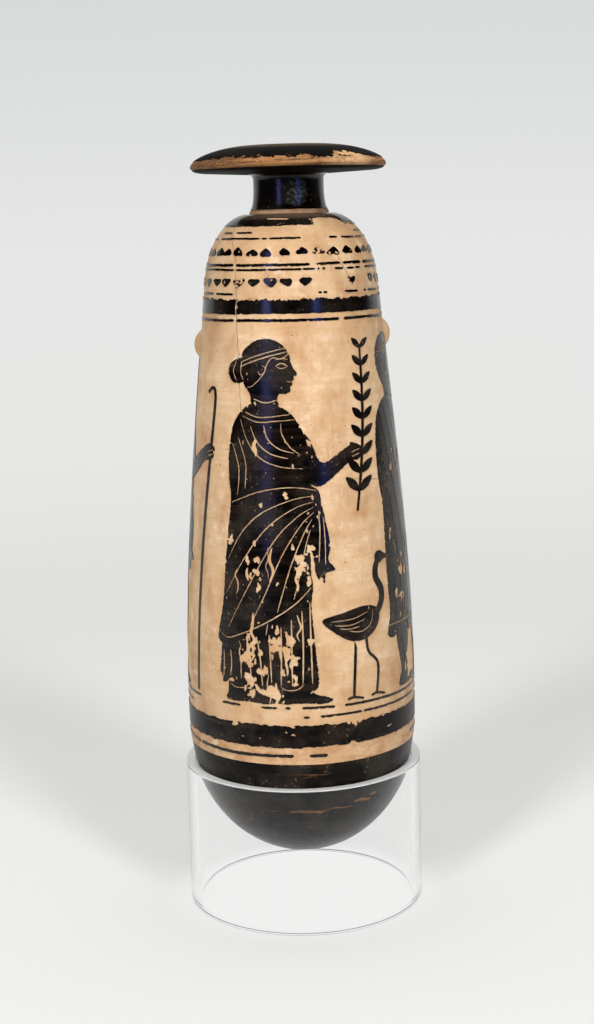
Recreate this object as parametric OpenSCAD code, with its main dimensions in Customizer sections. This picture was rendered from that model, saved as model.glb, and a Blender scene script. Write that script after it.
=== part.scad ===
// Alabastron: a tall oil flask with a round base, a tapering wall, a disc mouth and two small lugs.
// It is coated with white ground and bands of black gloss, and stands in a clear ring.
// Sizes are millimetres, +Z is up, and the origin is the centre of the ring's foot.

/* [Body] */
// Diameter of the body where the round base meets the wall
body_d = 56.7; // [50:0.1:62]
// Height of the round base
base_h = 33; // [30:0.1:38]
// Height of the wall between the base and the shoulder
wall_h = 111.6; // [95:0.1:125]
// Diameter at the top of the wall
wall_top_d = 41.9; // [37:0.1:46]
// Outward swell of the wall above the base
wall_swell = 0.75; // [0:0.05:1.5]
// Inward lean of the wall below the shoulder
wall_lean = 3.55; // [2:0.05:5]
// Height of the shoulder
shoulder_h = 16; // [13:0.1:20]
// Depth of the shoulder curve's centre below the top of the wall
shoulder_dip = 2.5; // [0:0.1:4]
// Thickness of the thrown wall
wall_t = 4; // [3:0.1:5]

/* [Neck and mouth] */
// Diameter of the bore through the shoulder, the neck and the mouth
bore_d = 11.5; // [9:0.1:12.5]
// Diameter of the neck
neck_d = 16.9; // [16:0.1:19]
// Height of the neck
neck_h = 9.9; // [9:0.1:13]
// How far the bare collar at the neck's foot stands out
collar_proud = 1.25; // [1.2:0.05:1.7]
// Height of the bare collar
collar_h = 1.2; // [0.8:0.1:2]
// How far the neck flares out above the collar
flare_proud = 1.05; // [0.5:0.05:1.1]
// Height of the flare above the collar
flare_h = 5.2; // [3:0.1:6]
// Radius of the fillet between the neck and the mouth
neck_fillet = 1.3; // [0.8:0.1:2]
// Diameter of the mouth disc
mouth_d = 47.6; // [42:0.1:54]
// Height of the mouth disc
mouth_h = 6.6; // [6:0.1:8.5]
// Height of the disc's widest line above its underside at the neck
rim_rise = 1.9; // [1.6:0.1:2.5]
// How far the disc's underside rises from the neck to the rim
under_rise = 0.6; // [0.2:0.1:1]
// Width of the round under the rim
rim_round = 3; // [1.5:0.1:4]
// Width of the bare clay along the rim on the disc's top
rim_bare = 1.6; // [1:0.1:3]
// Diameter of the flat crown round the bore
crown_d = 19.4; // [17:0.1:24]
// Roundness of the disc's top, from 1 for a cone to 2 for an ellipse
dome_power = 1.7; // [1.3:0.05:2]
// Radius of the round where the crown turns into the bore
lip_round = 2; // [1:0.1:2.2]

/* [Lugs] */
// Height of a lug on the wall
lug_h = 7.2; // [5:0.1:10]
// Width of a lug round the wall
lug_w = 5; // [3:0.1:7]
// How far a lug stands out from the wall
lug_proud = 1.8; // [1.2:0.1:2.5]
// Drop of the left lug's middle below the top of the wall
left_lug_drop = 15.3; // [10:0.1:25]
// Drop of the right lug's middle below the top of the wall
right_lug_drop = 13.5; // [10:0.1:25]

/* [Ring stand] */
// Height of the clear ring
ring_h = 36.8; // [34:0.1:48]
// Wall of the clear ring
ring_t = 2.5; // [2:0.1:4]
// Chamfer of the ring's polished edges
ring_edge = 0.25; // [0.1:0.05:0.5]
// Depth of the round base below the ring's rim
seat_h = 23.9; // [18:0.1:27]
// Clearance between the base and the ring's rim
seat_gap = 0.1; // [0.05:0.05:0.4]

/* [Coats] */
// Thickness of the white ground
ground_t = 0.25; // [0.15:0.05:0.4]
// Thickness of the black gloss
gloss_t = 0.12; // [0.08:0.02:0.2]
// Clearance between one coat and the next
coat_gap = 0.03; // [0.02:0.01:0.05]

/* [Bands of the shoulder] */
// Drop of the shoulder gloss's edge below the top of the shoulder
shoulder_gloss_drop = 3; // [2:0.1:3.5]
// Drop of the upper shoulder line
shoulder_line_drop = 4.1; // [3.9:0.1:4.7]
// Drop of the upper row of berries
upper_berry_drop = 8.7; // [7.9:0.1:9.5]
// Drop of the upper middle line
middle_line_drop = 11.4; // [10.9:0.1:11.9]
// Drop of the lower row of berries
lower_berry_drop = 15.3; // [14.5:0.1:16.1]
// Drop of the line above the broad band
band_line_drop = 18.1; // [17.3:0.1:18.7]
// Drop of the broad band's upper edge
broad_band_drop = 19.5; // [19.1:0.1:21.5]
// Height of the broad band
broad_band_h = 3.4; // [2:0.1:4]
// Clear space between the broad band and the line below it
band_line_space = 1; // [0.6:0.1:2]
// Spacing of the paired lines
pair_space = 1.25; // [1:0.05:1.5]
// Height of a painted line
line_h = 0.45; // [0.3:0.05:0.7]
// Diameter of a berry
berry_d = 2; // [1.4:0.1:2.4]
// Spacing of the berries round the shoulder
berry_pitch = 4.2; // [3.4:0.1:6]

/* [Bands of the base] */
// Drop of the base gloss's edge below the top of the base
base_gloss_drop = 2.9; // [1.5:0.1:5]
// Rise of the foot line above the base gloss's edge
foot_line_rise = 2.5; // [1.5:0.1:3.2]
// Rise of the lower band above the base gloss's edge
lower_band_rise = 4.1; // [3.8:0.1:6]
// Height of the lower band
lower_band_h = 5.8; // [4:0.1:7]
// Rise of the ground lines above the base gloss's edge
ground_line_rise = 13.2; // [13.2:0.1:18]

/* [Hidden] */

$fn = 96;

CLAY = "#b5703c";
SLIP = "#d9b98c";
GLOSS = "#17140f";
CLEAR = "#dfeaf0";

// Steps along each curved stretch of the outlines
base_steps = 18;
wall_steps = 20;
shoulder_steps = 14;
small_steps = 8;

body_r = body_d / 2;
wall_top_r = wall_top_d / 2;
bore_r = bore_d / 2;
neck_r = neck_d / 2;
mouth_r = mouth_d / 2;
crown_r = crown_d / 2;
collar_r = neck_r + collar_proud;

// Heights above the flask's lowest point
wall_top_z = base_h + wall_h;
shoulder_top_z = wall_top_z + shoulder_h;
mouth_z = shoulder_top_z + neck_h;
base_edge_z = base_h - base_gloss_drop;

// The shoulder's outer and inner curves are ellipses about one centre
shoulder_mid_z = wall_top_z - shoulder_dip;
shoulder_b = shoulder_h + shoulder_dip;
shoulder_a = (wall_top_r - collar_r) / cos(asin(shoulder_dip / shoulder_b));
inner_b = shoulder_b - wall_t;
inner_a = (wall_top_r - wall_t - collar_r) / cos(asin(shoulder_dip / inner_b));

// Radii that guide the wall's curve, evenly spaced in height
wall_guides = [body_r, body_r + wall_swell, wall_top_r + wall_lean, wall_top_r];

// How far each coat's inner and outer faces stand off the clay
ground_lift = [coat_gap, coat_gap + ground_t];
gloss_lift = [ground_lift[1] + coat_gap, ground_lift[1] + coat_gap + gloss_t];
bare_gloss_lift = [coat_gap, coat_gap + gloss_t];

// The ring is sized by the base that it carries
ring_in_r = outer_r(seat_h) + bare_gloss_lift[1] + seat_gap;
ring_out_r = ring_in_r + ring_t;
foot_gap = ring_h - seat_h;

// A lug is a lens: its radius gives the stated height and projection, and its balls the stated width
lug_r = (lug_h * lug_h / 4 + lug_proud * lug_proud) / (2 * lug_proud);
lug_ball_r = (lug_r * lug_r + lug_w * lug_w / 4) / lug_w;
left_lug_z = wall_top_z - left_lug_drop;
right_lug_z = wall_top_z - right_lug_drop;

// Height at which the shoulder's coats stop, just clear of the collar
coat_top_z = shoulder_mid_z + shoulder_b * sqrt(1 - pow(coat_gap / shoulder_a, 2));

function wall_share(z) = (z - base_h) / wall_h;

function wall_radius(t) =
    wall_guides[0] * pow(1 - t, 3) + 3 * wall_guides[1] * t * pow(1 - t, 2)
    + 3 * wall_guides[2] * t * t * (1 - t) + wall_guides[3] * pow(t, 3);

function wall_slope(t) =
    3 * (wall_guides[1] - wall_guides[0]) * pow(1 - t, 2)
    + 6 * (wall_guides[2] - wall_guides[1]) * t * (1 - t)
    + 3 * (wall_guides[3] - wall_guides[2]) * t * t;

function ellipse_r(along, half, reach) = reach * sqrt(max(0, 1 - pow(along / half, 2)));

// Radius of the clay's outer face at a height
function outer_r(z) =
    z <= base_h ? ellipse_r(base_h - z, base_h, body_r)
    : z <= wall_top_z ? wall_radius(wall_share(z))
    : collar_r + ellipse_r(z - shoulder_mid_z, shoulder_b, shoulder_a);

// Radius of the clay's inner face at a height
function inner_r(z) =
    z <= base_h ? ellipse_r(base_h - z, base_h - wall_t, body_r - wall_t)
    : z <= wall_top_z ? outer_r(z) - wall_t
    : collar_r + ellipse_r(z - shoulder_mid_z, inner_b, inner_a);

function unit(v) = v / norm(v);

// Direction, radial then vertical, that points straight out of the clay's outer face
function outward(z) =
    z <= base_h ? unit([outer_r(z) / pow(body_r, 2), (z - base_h) / pow(base_h, 2)])
    : z <= wall_top_z ? unit([wall_h, -wall_slope(wall_share(z))])
    : unit([(outer_r(z) - collar_r) / pow(shoulder_a, 2), (z - shoulder_mid_z) / pow(shoulder_b, 2)]);

function lifted(z, lift) = [outer_r(z), z] + lift * outward(z);

// Heights of the outline's points, closer together where it curves more
function base_heights(low) =
    [for (i = [0:base_steps]) base_h - (base_h - low) * cos(90 * i / base_steps)];
function shoulder_heights(half) =
    let (start = asin(shoulder_dip / half))
    [for (i = [0:shoulder_steps]) shoulder_mid_z + half * sin(start + (90 - start) * i / shoulder_steps)];
wall_heights = [for (i = [0:wall_steps]) base_h + wall_h * i / wall_steps];
heights = concat(base_heights(0), wall_heights, shoulder_heights(shoulder_b));

function reversed(list) = [for (i = [len(list) - 1:-1:0]) list[i]];

// Heights between two levels, with both levels included
function span(low, high) =
    concat([low], [for (z = heights) if (z > low + coat_gap && z < high - coat_gap) z], [high]);

// Points of a round: centre, reach along r and z, first and last angle
function round_points(mid, reach_r, reach_z, first, last) =
    [for (i = [0:small_steps])
        let (a = first + (last - first) * i / small_steps)
        mid + [reach_r * cos(a), reach_z * sin(a)]];

// Outer face of the neck above the collar, from the flare to the fillet under the mouth
neck_side = concat(
    round_points([neck_r + flare_proud, collar_h + flare_h], -flare_proud, -flare_h, 90, 0),
    round_points([neck_r + neck_fillet, neck_h - neck_fillet], -neck_fillet, neck_fillet, 0, 90)
);

// Underside of the mouth disc, from the neck's fillet to the rim
under_in = [neck_r + neck_fillet, 0];
under_out = [mouth_r - rim_round, under_rise];

// Top of the mouth disc, from the rim to the crown
dome_reach = [mouth_r - crown_r, mouth_h - rim_rise];
dome = [for (i = [0:shoulder_steps])
    let (a = 90 * i / shoulder_steps)
    [crown_r + dome_reach[0] * pow(cos(a), 2 / dome_power),
        rim_rise + dome_reach[1] * pow(sin(a), 2 / dome_power)]];
lip = round_points([bore_r + lip_round, mouth_h - lip_round], -lip_round, lip_round, 90, 0);

// Places a piece of the flask at its height above the ring's foot
module seated() {
    translate([0, 0, foot_gap]) children();
}

// Thin shell over the outer face between two heights
module coat(low, high, lift) {
    levels = span(low, high);
    rotate_extrude() polygon(concat(
        [for (z = levels) lifted(z, lift[1])],
        [for (z = reversed(levels)) lifted(z, lift[0])]
    ));
}

// Painted line whose middle lies at a height
module painted_line(z) {
    coat(z - line_h / 2, z + line_h / 2, gloss_lift);
}

// Thin shell over a list of outline points, shifted from the inner to the outer offset
module shifted_coat(points, inner, outer) {
    rotate_extrude() polygon(concat([for (p = points) p + outer], [for (p = reversed(points)) p + inner]));
}

// Round berries of gloss set evenly round the shoulder, each square to the surface
module berry_row(z) {
    count = floor(2 * PI * outer_r(z) / berry_pitch);
    face = lifted(z, gloss_lift[0]);
    tilt = atan2(outward(z)[0], outward(z)[1]);
    for (i = [0:count - 1]) {
        rotate([0, 0, 360 * i / count]) translate([face[0], 0, face[1]]) rotate([0, tilt, 0])
            cylinder(d = berry_d, h = gloss_t);
    }
}

// Lens of clay on edge, sunk in the wall at one side, with its faces grown by a lift
module lug_lens(z, side, lift) {
    translate([side * (outer_r(z) + lug_proud - lug_r), 0, z]) intersection_for (turn = [-1, 1])
        translate([0, turn * (lug_ball_r - lug_w / 2), 0]) sphere(r = lug_ball_r + lift);
}

// Cone that lies against the wall at a height, for cutting what is pressed on it there
module wall_cone(z) {
    fall = wall_slope(wall_share(z)) / wall_h * lug_h;
    middle_r = outer_r(z) + coat_gap;
    translate([0, 0, z - lug_h]) cylinder(r1 = middle_r - fall, r2 = middle_r + fall, h = 2 * lug_h);
}

// One lug, cut to the wall that it is pressed on
module lug(z, side) {
    difference() {
        lug_lens(z, side, 0);
        wall_cone(z);
    }
}

module display_ring() {
    color(CLEAR, 0.4) rotate_extrude() polygon([
        [ring_in_r, ring_edge], [ring_in_r + ring_edge, 0], [ring_out_r - ring_edge, 0], [ring_out_r, ring_edge],
        [ring_out_r, ring_h - ring_edge], [ring_out_r - ring_edge, ring_h],
        [ring_in_r + ring_edge, ring_h], [ring_in_r, ring_h - ring_edge]
    ]);
}

module base_bowl() {
    color(CLAY) seated() rotate_extrude() polygon(concat(
        [for (z = base_heights(0)) [outer_r(z), z]],
        [for (z = reversed(base_heights(wall_t))) [inner_r(z), z]]
    ));
}

module body_wall() {
    color(CLAY) seated() rotate_extrude() polygon(concat(
        [for (z = wall_heights) [outer_r(z), z]],
        [for (z = reversed(wall_heights)) [outer_r(z) - wall_t, z]]
    ));
}

module shoulder() {
    color(CLAY) seated() rotate_extrude() polygon(concat(
        [[wall_top_r, wall_top_z]],
        [for (z = shoulder_heights(shoulder_b)) if (z > wall_top_z + coat_gap) [outer_r(z), z]],
        [[bore_r, shoulder_top_z], [bore_r, shoulder_top_z - wall_t]],
        [for (z = reversed(shoulder_heights(inner_b))) if (z > wall_top_z + coat_gap) [inner_r(z), z]],
        [[wall_top_r - wall_t, wall_top_z]]
    ));
}

module neck() {
    color(CLAY) seated() translate([0, 0, shoulder_top_z]) rotate_extrude() polygon(concat(
        [[bore_r, 0], [collar_r, 0], [collar_r, collar_h]],
        neck_side,
        [[bore_r, neck_h]]
    ));
}

module mouth_disc() {
    color(CLAY) seated() translate([0, 0, mouth_z]) rotate_extrude() polygon(concat(
        [[bore_r, 0], under_in],
        round_points([under_out[0], rim_rise], rim_round, rim_rise - under_rise, -90, 0),
        [for (i = [1:len(dome) - 1]) dome[i]],
        lip
    ));
}

module left_lug() {
    color(SLIP) seated() lug(left_lug_z, -1);
}

module right_lug() {
    color(SLIP) seated() lug(right_lug_z, 1);
}

module white_ground() {
    color(SLIP) seated() difference() {
        coat(base_edge_z + coat_gap, coat_top_z, ground_lift);
        lug_lens(left_lug_z, -1, coat_gap);
        lug_lens(right_lug_z, 1, coat_gap);
    }
}

module base_gloss() {
    color(GLOSS) seated() coat(0, base_edge_z, bare_gloss_lift);
}

module foot_line() {
    color(GLOSS) seated() painted_line(base_edge_z + foot_line_rise);
}

module lower_band() {
    low = base_edge_z + lower_band_rise;
    color(GLOSS) seated() coat(low, low + lower_band_h, gloss_lift);
}

module ground_lines() {
    low = base_edge_z + ground_line_rise;
    color(GLOSS) seated() for (i = [0, 1]) painted_line(low + i * pair_space);
}

module broad_band() {
    high = shoulder_top_z - broad_band_drop;
    color(GLOSS) seated() coat(high - broad_band_h, high, gloss_lift);
}

module band_lines() {
    above = shoulder_top_z - band_line_drop;
    below = shoulder_top_z - broad_band_drop - broad_band_h - band_line_space;
    color(GLOSS) seated() for (z = [above, below]) painted_line(z);
}

module lower_berries() {
    color(GLOSS) seated() berry_row(shoulder_top_z - lower_berry_drop);
}

module middle_lines() {
    high = shoulder_top_z - middle_line_drop;
    color(GLOSS) seated() for (i = [0, 1]) painted_line(high - i * pair_space);
}

module upper_berries() {
    color(GLOSS) seated() berry_row(shoulder_top_z - upper_berry_drop);
}

module shoulder_lines() {
    high = shoulder_top_z - shoulder_line_drop;
    color(GLOSS) seated() for (i = [0, 1]) painted_line(high - i * pair_space);
}

module shoulder_gloss() {
    color(GLOSS) seated() coat(shoulder_top_z - shoulder_gloss_drop, coat_top_z, gloss_lift);
}

module neck_gloss() {
    color(GLOSS) seated() translate([0, 0, shoulder_top_z])
        shifted_coat([for (p = neck_side) if (p[0] < under_in[0] - neck_fillet / 2) p],
            [bare_gloss_lift[0], 0], [bare_gloss_lift[1], 0]);
}

module mouth_top_gloss() {
    color(GLOSS) seated() translate([0, 0, mouth_z])
        shifted_coat(concat([for (p = dome) if (p[0] < mouth_r - rim_bare) p], [lip[0]]),
            [0, bare_gloss_lift[0]], [0, bare_gloss_lift[1]]);
}

module mouth_under_gloss() {
    color(GLOSS) seated() translate([0, 0, mouth_z])
        shifted_coat([under_in, under_out], [0, -bare_gloss_lift[0]], [0, -bare_gloss_lift[1]]);
}

display_ring();
base_bowl();
body_wall();
shoulder();
neck();
mouth_disc();
left_lug();
right_lug();
white_ground();
base_gloss();
foot_line();
lower_band();
ground_lines();
broad_band();
band_lines();
lower_berries();
middle_lines();
upper_berries();
shoulder_lines();
shoulder_gloss();
neck_gloss();
mouth_top_gloss();
mouth_under_gloss();
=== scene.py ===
"""Looks of a white-ground alabastron in a clear ring stand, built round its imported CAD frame."""

from __future__ import annotations

import logging
import math
import random
from bisect import bisect_right
from collections.abc import Sequence
from dataclasses import dataclass, field, replace
from enum import Enum, IntEnum
from typing import Protocol

import bmesh
import bpy
from mathutils import Matrix, Vector
from mathutils.geometry import delaunay_2d_cdt

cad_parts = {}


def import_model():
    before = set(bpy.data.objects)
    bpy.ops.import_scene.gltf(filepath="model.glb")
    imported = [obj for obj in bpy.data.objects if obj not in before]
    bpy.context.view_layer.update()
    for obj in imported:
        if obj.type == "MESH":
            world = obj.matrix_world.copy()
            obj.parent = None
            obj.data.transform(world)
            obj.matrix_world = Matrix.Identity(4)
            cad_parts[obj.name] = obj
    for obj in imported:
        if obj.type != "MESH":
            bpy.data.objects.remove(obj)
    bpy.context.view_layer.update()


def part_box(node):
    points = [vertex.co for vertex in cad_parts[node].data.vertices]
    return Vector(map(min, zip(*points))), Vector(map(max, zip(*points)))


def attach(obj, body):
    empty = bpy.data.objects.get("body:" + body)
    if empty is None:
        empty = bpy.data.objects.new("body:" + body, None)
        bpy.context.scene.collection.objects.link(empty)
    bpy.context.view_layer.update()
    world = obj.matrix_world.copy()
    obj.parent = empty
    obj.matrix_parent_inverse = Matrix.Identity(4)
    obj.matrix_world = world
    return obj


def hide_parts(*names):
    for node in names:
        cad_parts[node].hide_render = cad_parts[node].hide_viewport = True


MM = 0.001
DOUBLES = 1e-6
HALVINGS = 40
CREASE = math.radians(35)
Flat = tuple[float, float]
Colour = tuple[float, float, float]
Triple = tuple[float, float, float]
Chip = tuple[float, float, float, float]
Line = tuple[tuple[Flat, ...], float]
Socket = bpy.types.NodeSocket
Material = bpy.types.Material
Piece = bpy.types.Object
log = logging.getLogger("alabastron")


class Body(Enum):
    """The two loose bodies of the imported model."""

    STAND = "stand"
    FLASK = "flask"


class Slot(Enum):
    """The record's material slots."""

    ACRYLIC = "clear_acrylic"
    CLAY = "clay"
    GROUND = "white_ground"
    GLOSS = "black_gloss"


class NodeBench:
    """Lays out the shader nodes of one material, or of the room round the scene."""

    def __init__(self, name: str, room: bool = False) -> None:
        """Starts an empty node tree.

        Args:
            name: Name of the material or the room.
            room: Whether the tree lights the room instead of dressing a piece.
        """
        self.owner = bpy.data.worlds.new(name) if room else bpy.data.materials.new(name)
        self.owner.use_nodes = True
        self.tree = self.owner.node_tree
        self.tree.nodes.clear()
        self.out = self.add("ShaderNodeOutputWorld" if room else "ShaderNodeOutputMaterial")
        self.place = self.add("ShaderNodeTexCoord").outputs["Generated" if room else "Object"]

    def add(self, kind: str, inputs: dict[str | int, object] | None = None,
            **settings: object) -> bpy.types.Node:
        """Adds a node.

        Args:
            kind: Node type.
            inputs: Output socket, number or colour for each input, by its name or number.
            settings: Properties to set on the node.

        Returns:
            The new node.
        """
        node = self.tree.nodes.new(kind)
        for key, value in settings.items():
            setattr(node, key, value)
        for key, value in (inputs or {}).items():
            self.feed(node.inputs[key], value)
        return node

    def feed(self, socket: Socket, value: object) -> None:
        """Links a socket to another one, or sets it to a constant.

        Args:
            socket: Input to fill.
            value: Output socket, number or colour.
        """
        if isinstance(value, Socket):
            self.tree.links.new(value, socket)
        elif isinstance(value, tuple) and len(value) == 3 and socket.type == "RGBA":
            socket.default_value = (*value, 1.0)
        else:
            socket.default_value = value

    def axes(self) -> bpy.types.NodeOutputs:
        """Gives X, Y and Z of the piece's own coordinates."""
        return self.add("ShaderNodeSeparateXYZ", {"Vector": self.place}).outputs

    def rays(self) -> bpy.types.NodeOutputs:
        """Tells what kind of ray meets the surface."""
        return self.add("ShaderNodeLightPath").outputs

    def _squeezed(self, stretch: Triple) -> Socket:
        """Gives the piece's own coordinates, squeezed along each axis."""
        return self.add("ShaderNodeMapping", {"Scale": stretch, "Vector": self.place}).outputs["Vector"]

    def grain(self, size: float, stretch: Triple = (1, 1, 1), detail: float = 4.0,
              rough: float = 0.55) -> Socket:
        """Adds soft noise on the piece's own coordinates.

        Args:
            size: Size of one blotch in millimetres.
            stretch: Squeeze along each axis; below 1 draws the blotches out.
            detail: Octaves of noise.
            rough: Weight of the finer octaves.

        Returns:
            The noise, from 0 to 1.
        """
        inputs = {"Scale": 1 / (size * MM), "Detail": detail, "Roughness": rough}
        return self.add("ShaderNodeTexNoise", {**inputs, "Vector": self._squeezed(stretch)}).outputs["Fac"]

    def crackle(self, size: float, stretch: Triple) -> Socket:
        """Adds a net of cracks on the piece's own coordinates.

        Args:
            size: Size of one cell in millimetres.
            stretch: Squeeze along each axis.

        Returns:
            Distance to the nearest crack, in cells.
        """
        inputs = {"Scale": 1 / (size * MM), "Vector": self._squeezed(stretch)}
        return self.add("ShaderNodeTexVoronoi", inputs, feature="DISTANCE_TO_EDGE").outputs["Distance"]

    def distance(self, spot: Triple) -> Socket:
        """Measures from a spot on the piece.

        Args:
            spot: The spot in millimetres.

        Returns:
            The distance in metres.
        """
        inputs = {0: self.place, 1: tuple(c * MM for c in spot)}
        return self.add("ShaderNodeVectorMath", inputs, operation="DISTANCE").outputs["Value"]

    def level(self, value: object, low: float, high: float, to_low: object = 0.0,
              to_high: object = 1.0) -> Socket:
        """Stretches a range of values to another range, and clamps it there.

        Args:
            value: Socket to read.
            low: Value that becomes to_low.
            high: Value that becomes to_high.
            to_low: New value at low.
            to_high: New value at high.

        Returns:
            The stretched value.
        """
        inputs = {"Value": value, "From Min": low, "From Max": high, "To Min": to_low, "To Max": to_high}
        return self.add("ShaderNodeMapRange", inputs).outputs["Result"]

    def span(self, value: object, reach: Flat, to_low: float = 0.0, to_high: float = 1.0) -> Socket:
        """Stretches a range of lengths, which is given in millimetres.

        Args:
            value: Socket to read, in metres.
            reach: Lengths that become to_low and to_high.
            to_low: New value at the first length.
            to_high: New value at the second length.

        Returns:
            The stretched value.
        """
        return self.level(value, reach[0] * MM, reach[1] * MM, to_low, to_high)

    def blend(self, share: object, first: object, second: object) -> Socket:
        """Mixes two colours.

        Args:
            share: Share of the second colour.
            first: Colour or socket.
            second: Colour or socket.

        Returns:
            The mixed colour.
        """
        return self.add("ShaderNodeMix", {"Factor": share, 6: first, 7: second}, data_type="RGBA").outputs[2]

    def layer(self, under: object, tone: object, value: object, low: float, high: float, to_low: float = 0.0,
              to_high: float = 1.0) -> Socket:
        """Lays a tone over a colour, as thick as a stretched value says.

        Args:
            under: Colour or socket below.
            tone: Colour or socket on top.
            value: Socket to read.
            low: Value that gives the share to_low.
            high: Value that gives the share to_high.
            to_low: Share of the tone at low.
            to_high: Share of the tone at high.

        Returns:
            The mixed colour.
        """
        return self.blend(self.level(value, low, high, to_low, to_high), under, tone)

    def reckon(self, operation: str, first: object, second: object) -> Socket:
        """Does a sum on two values.

        Args:
            operation: Name of the sum.
            first: Number or socket.
            second: Number or socket.

        Returns:
            The result.
        """
        return self.add("ShaderNodeMath", {0: first, 1: second}, operation=operation).outputs["Value"]

    def times(self, first: object, second: object) -> Socket:
        """Multiplies two values."""
        return self.reckon("MULTIPLY", first, second)

    def greatest(self, first: object, *others: object) -> Socket:
        """Finds the greatest of some values.

        Args:
            first: Number or socket.
            others: More numbers or sockets.

        Returns:
            The greatest.
        """
        for other in others:
            first = self.reckon("MAXIMUM", first, other)
        return first

    def relief(self, *heights: tuple[object, float]) -> Socket:
        """Turns heights, each on top of the one before, into surface relief.

        Args:
            heights: Height from 0 to 1, and the depth of its relief in millimetres.

        Returns:
            The bent normal.
        """
        under: dict[str | int, object] = {}
        for height, depth in heights:
            inputs = {"Strength": 1.0, "Distance": depth * MM, "Height": height, **under}
            under = {"Normal": self.add("ShaderNodeBump", inputs).outputs["Normal"]}
        return under["Normal"]

    def surface(self, colour: object, rough: object, normal: object, gloss: float) -> Socket:
        """Adds a plain surface shader.

        Args:
            colour: Base colour or socket.
            rough: Roughness or socket.
            normal: Bent normal.
            gloss: Specular level.

        Returns:
            The shader.
        """
        inputs = {"Base Color": colour, "Roughness": rough, "Normal": normal, "Specular IOR Level": gloss}
        return self.add("ShaderNodeBsdfPrincipled", inputs).outputs["BSDF"]

    def shared(self, share: object, first: Socket, second: Socket) -> Socket:
        """Mixes two shaders, by the share of the second one."""
        return self.add("ShaderNodeMixShader", {0: share, 1: first, 2: second}).outputs["Shader"]

    def show(self, shader: Socket) -> Material | bpy.types.World:
        """Ends the tree in a shader and hands over what the tree belongs to."""
        self.feed(self.out.inputs["Surface"], shader)
        return self.owner


@dataclass(frozen=True)
class SlipFinish:
    """White ground: cream slip with brushed streaks, warm clouds, pale rubbed patches, stains, specks,
    painted side shade and shoulder soil with painted shade.
    """

    name: str = "cream_slip"
    cream: Colour = (0.84, 0.635, 0.41)
    pale: Colour = (0.93, 0.78, 0.6)
    warm: Colour = (0.64, 0.4, 0.21)
    rust: Colour = (0.42, 0.18, 0.07)
    speck: Colour = (0.16, 0.085, 0.04)
    soil_shade_tone: Colour = (0.42, 0.27, 0.15)
    foot_z: Flat = (46, 57)
    soil_shade_z: Flat = (158, 172)
    side_shade_x: Flat = (9, 20)
    side_shade_z: Flat = (136, 152)
    gloss: float = 0.22

    def material(self) -> Material:
        """Builds the finish.

        Returns:
            The material.
        """
        bench = NodeBench(self.name)
        clouds = bench.grain(14, detail=3)
        streaks = bench.grain(7, stretch=(0.22, 0.22, 2.6), detail=5)
        mottle = bench.grain(2.6, stretch=(0.6, 0.6, 1.3), detail=6, rough=0.65)
        rubbed = bench.grain(4.5, stretch=(0.8, 0.8, 1), detail=7, rough=0.64)
        stains = bench.grain(6.5, stretch=(1, 1, 0.6), detail=7, rough=0.62)
        fine = bench.grain(0.5, stretch=(0.7, 0.7, 1.4), detail=3)
        brush = bench.grain(1.5, stretch=(0.11, 0.11, 2.6), detail=4)
        scores = bench.grain(2.2, stretch=(2.6, 2.6, 0.1), detail=4)
        pits = bench.grain(1.1, detail=2, rough=0.4)
        net = bench.crackle(5.5, stretch=(1, 1, 0.7))
        axes = bench.axes()
        colour = bench.layer(self.warm, self.cream, clouds, 0.36, 0.62)
        colour = bench.layer(colour, self.pale, streaks, 0.4, 0.72, 0, 0.6)
        colour = bench.layer(colour, self.warm, mottle, 0.36, 0.7, 0.6, 0)
        colour = bench.layer(colour, self.rust, stains, 0.46, 0.66, 0, 0.7)
        foot = bench.times(bench.span(axes["Z"], self.foot_z, 0.8, 0), bench.level(mottle, 0.42, 0.6))
        colour = bench.blend(foot, colour, self.rust)
        # Painted shade: the slip darkens towards both sides of the wall, and on the shoulder, where soil also
        # lies.
        side_shade = bench.span(bench.reckon("ABSOLUTE", axes["X"], 0.0), self.side_shade_x, 0, 0.65)
        side_shade = bench.times(side_shade, bench.span(axes["Z"], self.side_shade_z))
        soil_and_shade = bench.greatest(bench.span(axes["Z"], self.soil_shade_z, 0, 0.75), side_shade)
        soil_and_shade = bench.times(soil_and_shade, bench.level(stains, 0.36, 0.58, 0.4, 1))
        colour = bench.blend(soil_and_shade, colour, self.soil_shade_tone)
        for tone, value, low, high, to_low, to_high in (
            (self.pale, rubbed, 0.58, 0.7, 0, 0.75),
            (self.warm, fine, 0.34, 0.66, 0.42, 0),
            (self.warm, brush, 0.38, 0.6, 0.4, 0),
            (self.pale, scores, 0.66, 0.74, 0, 0.45),
            (self.rust, net, 0.0, 0.014, 0.16, 0),
            (self.speck, pits, 0.74, 0.79, 0, 0.85),
        ):
            colour = bench.layer(colour, tone, value, low, high, to_low, to_high)
        rough = bench.level(streaks, 0.3, 0.7, 0.68, 0.5)
        normal = bench.relief((streaks, 0.05), (rubbed, 0.03), (fine, 0.03))
        return bench.show(bench.surface(colour, rough, normal, self.gloss))


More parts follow.
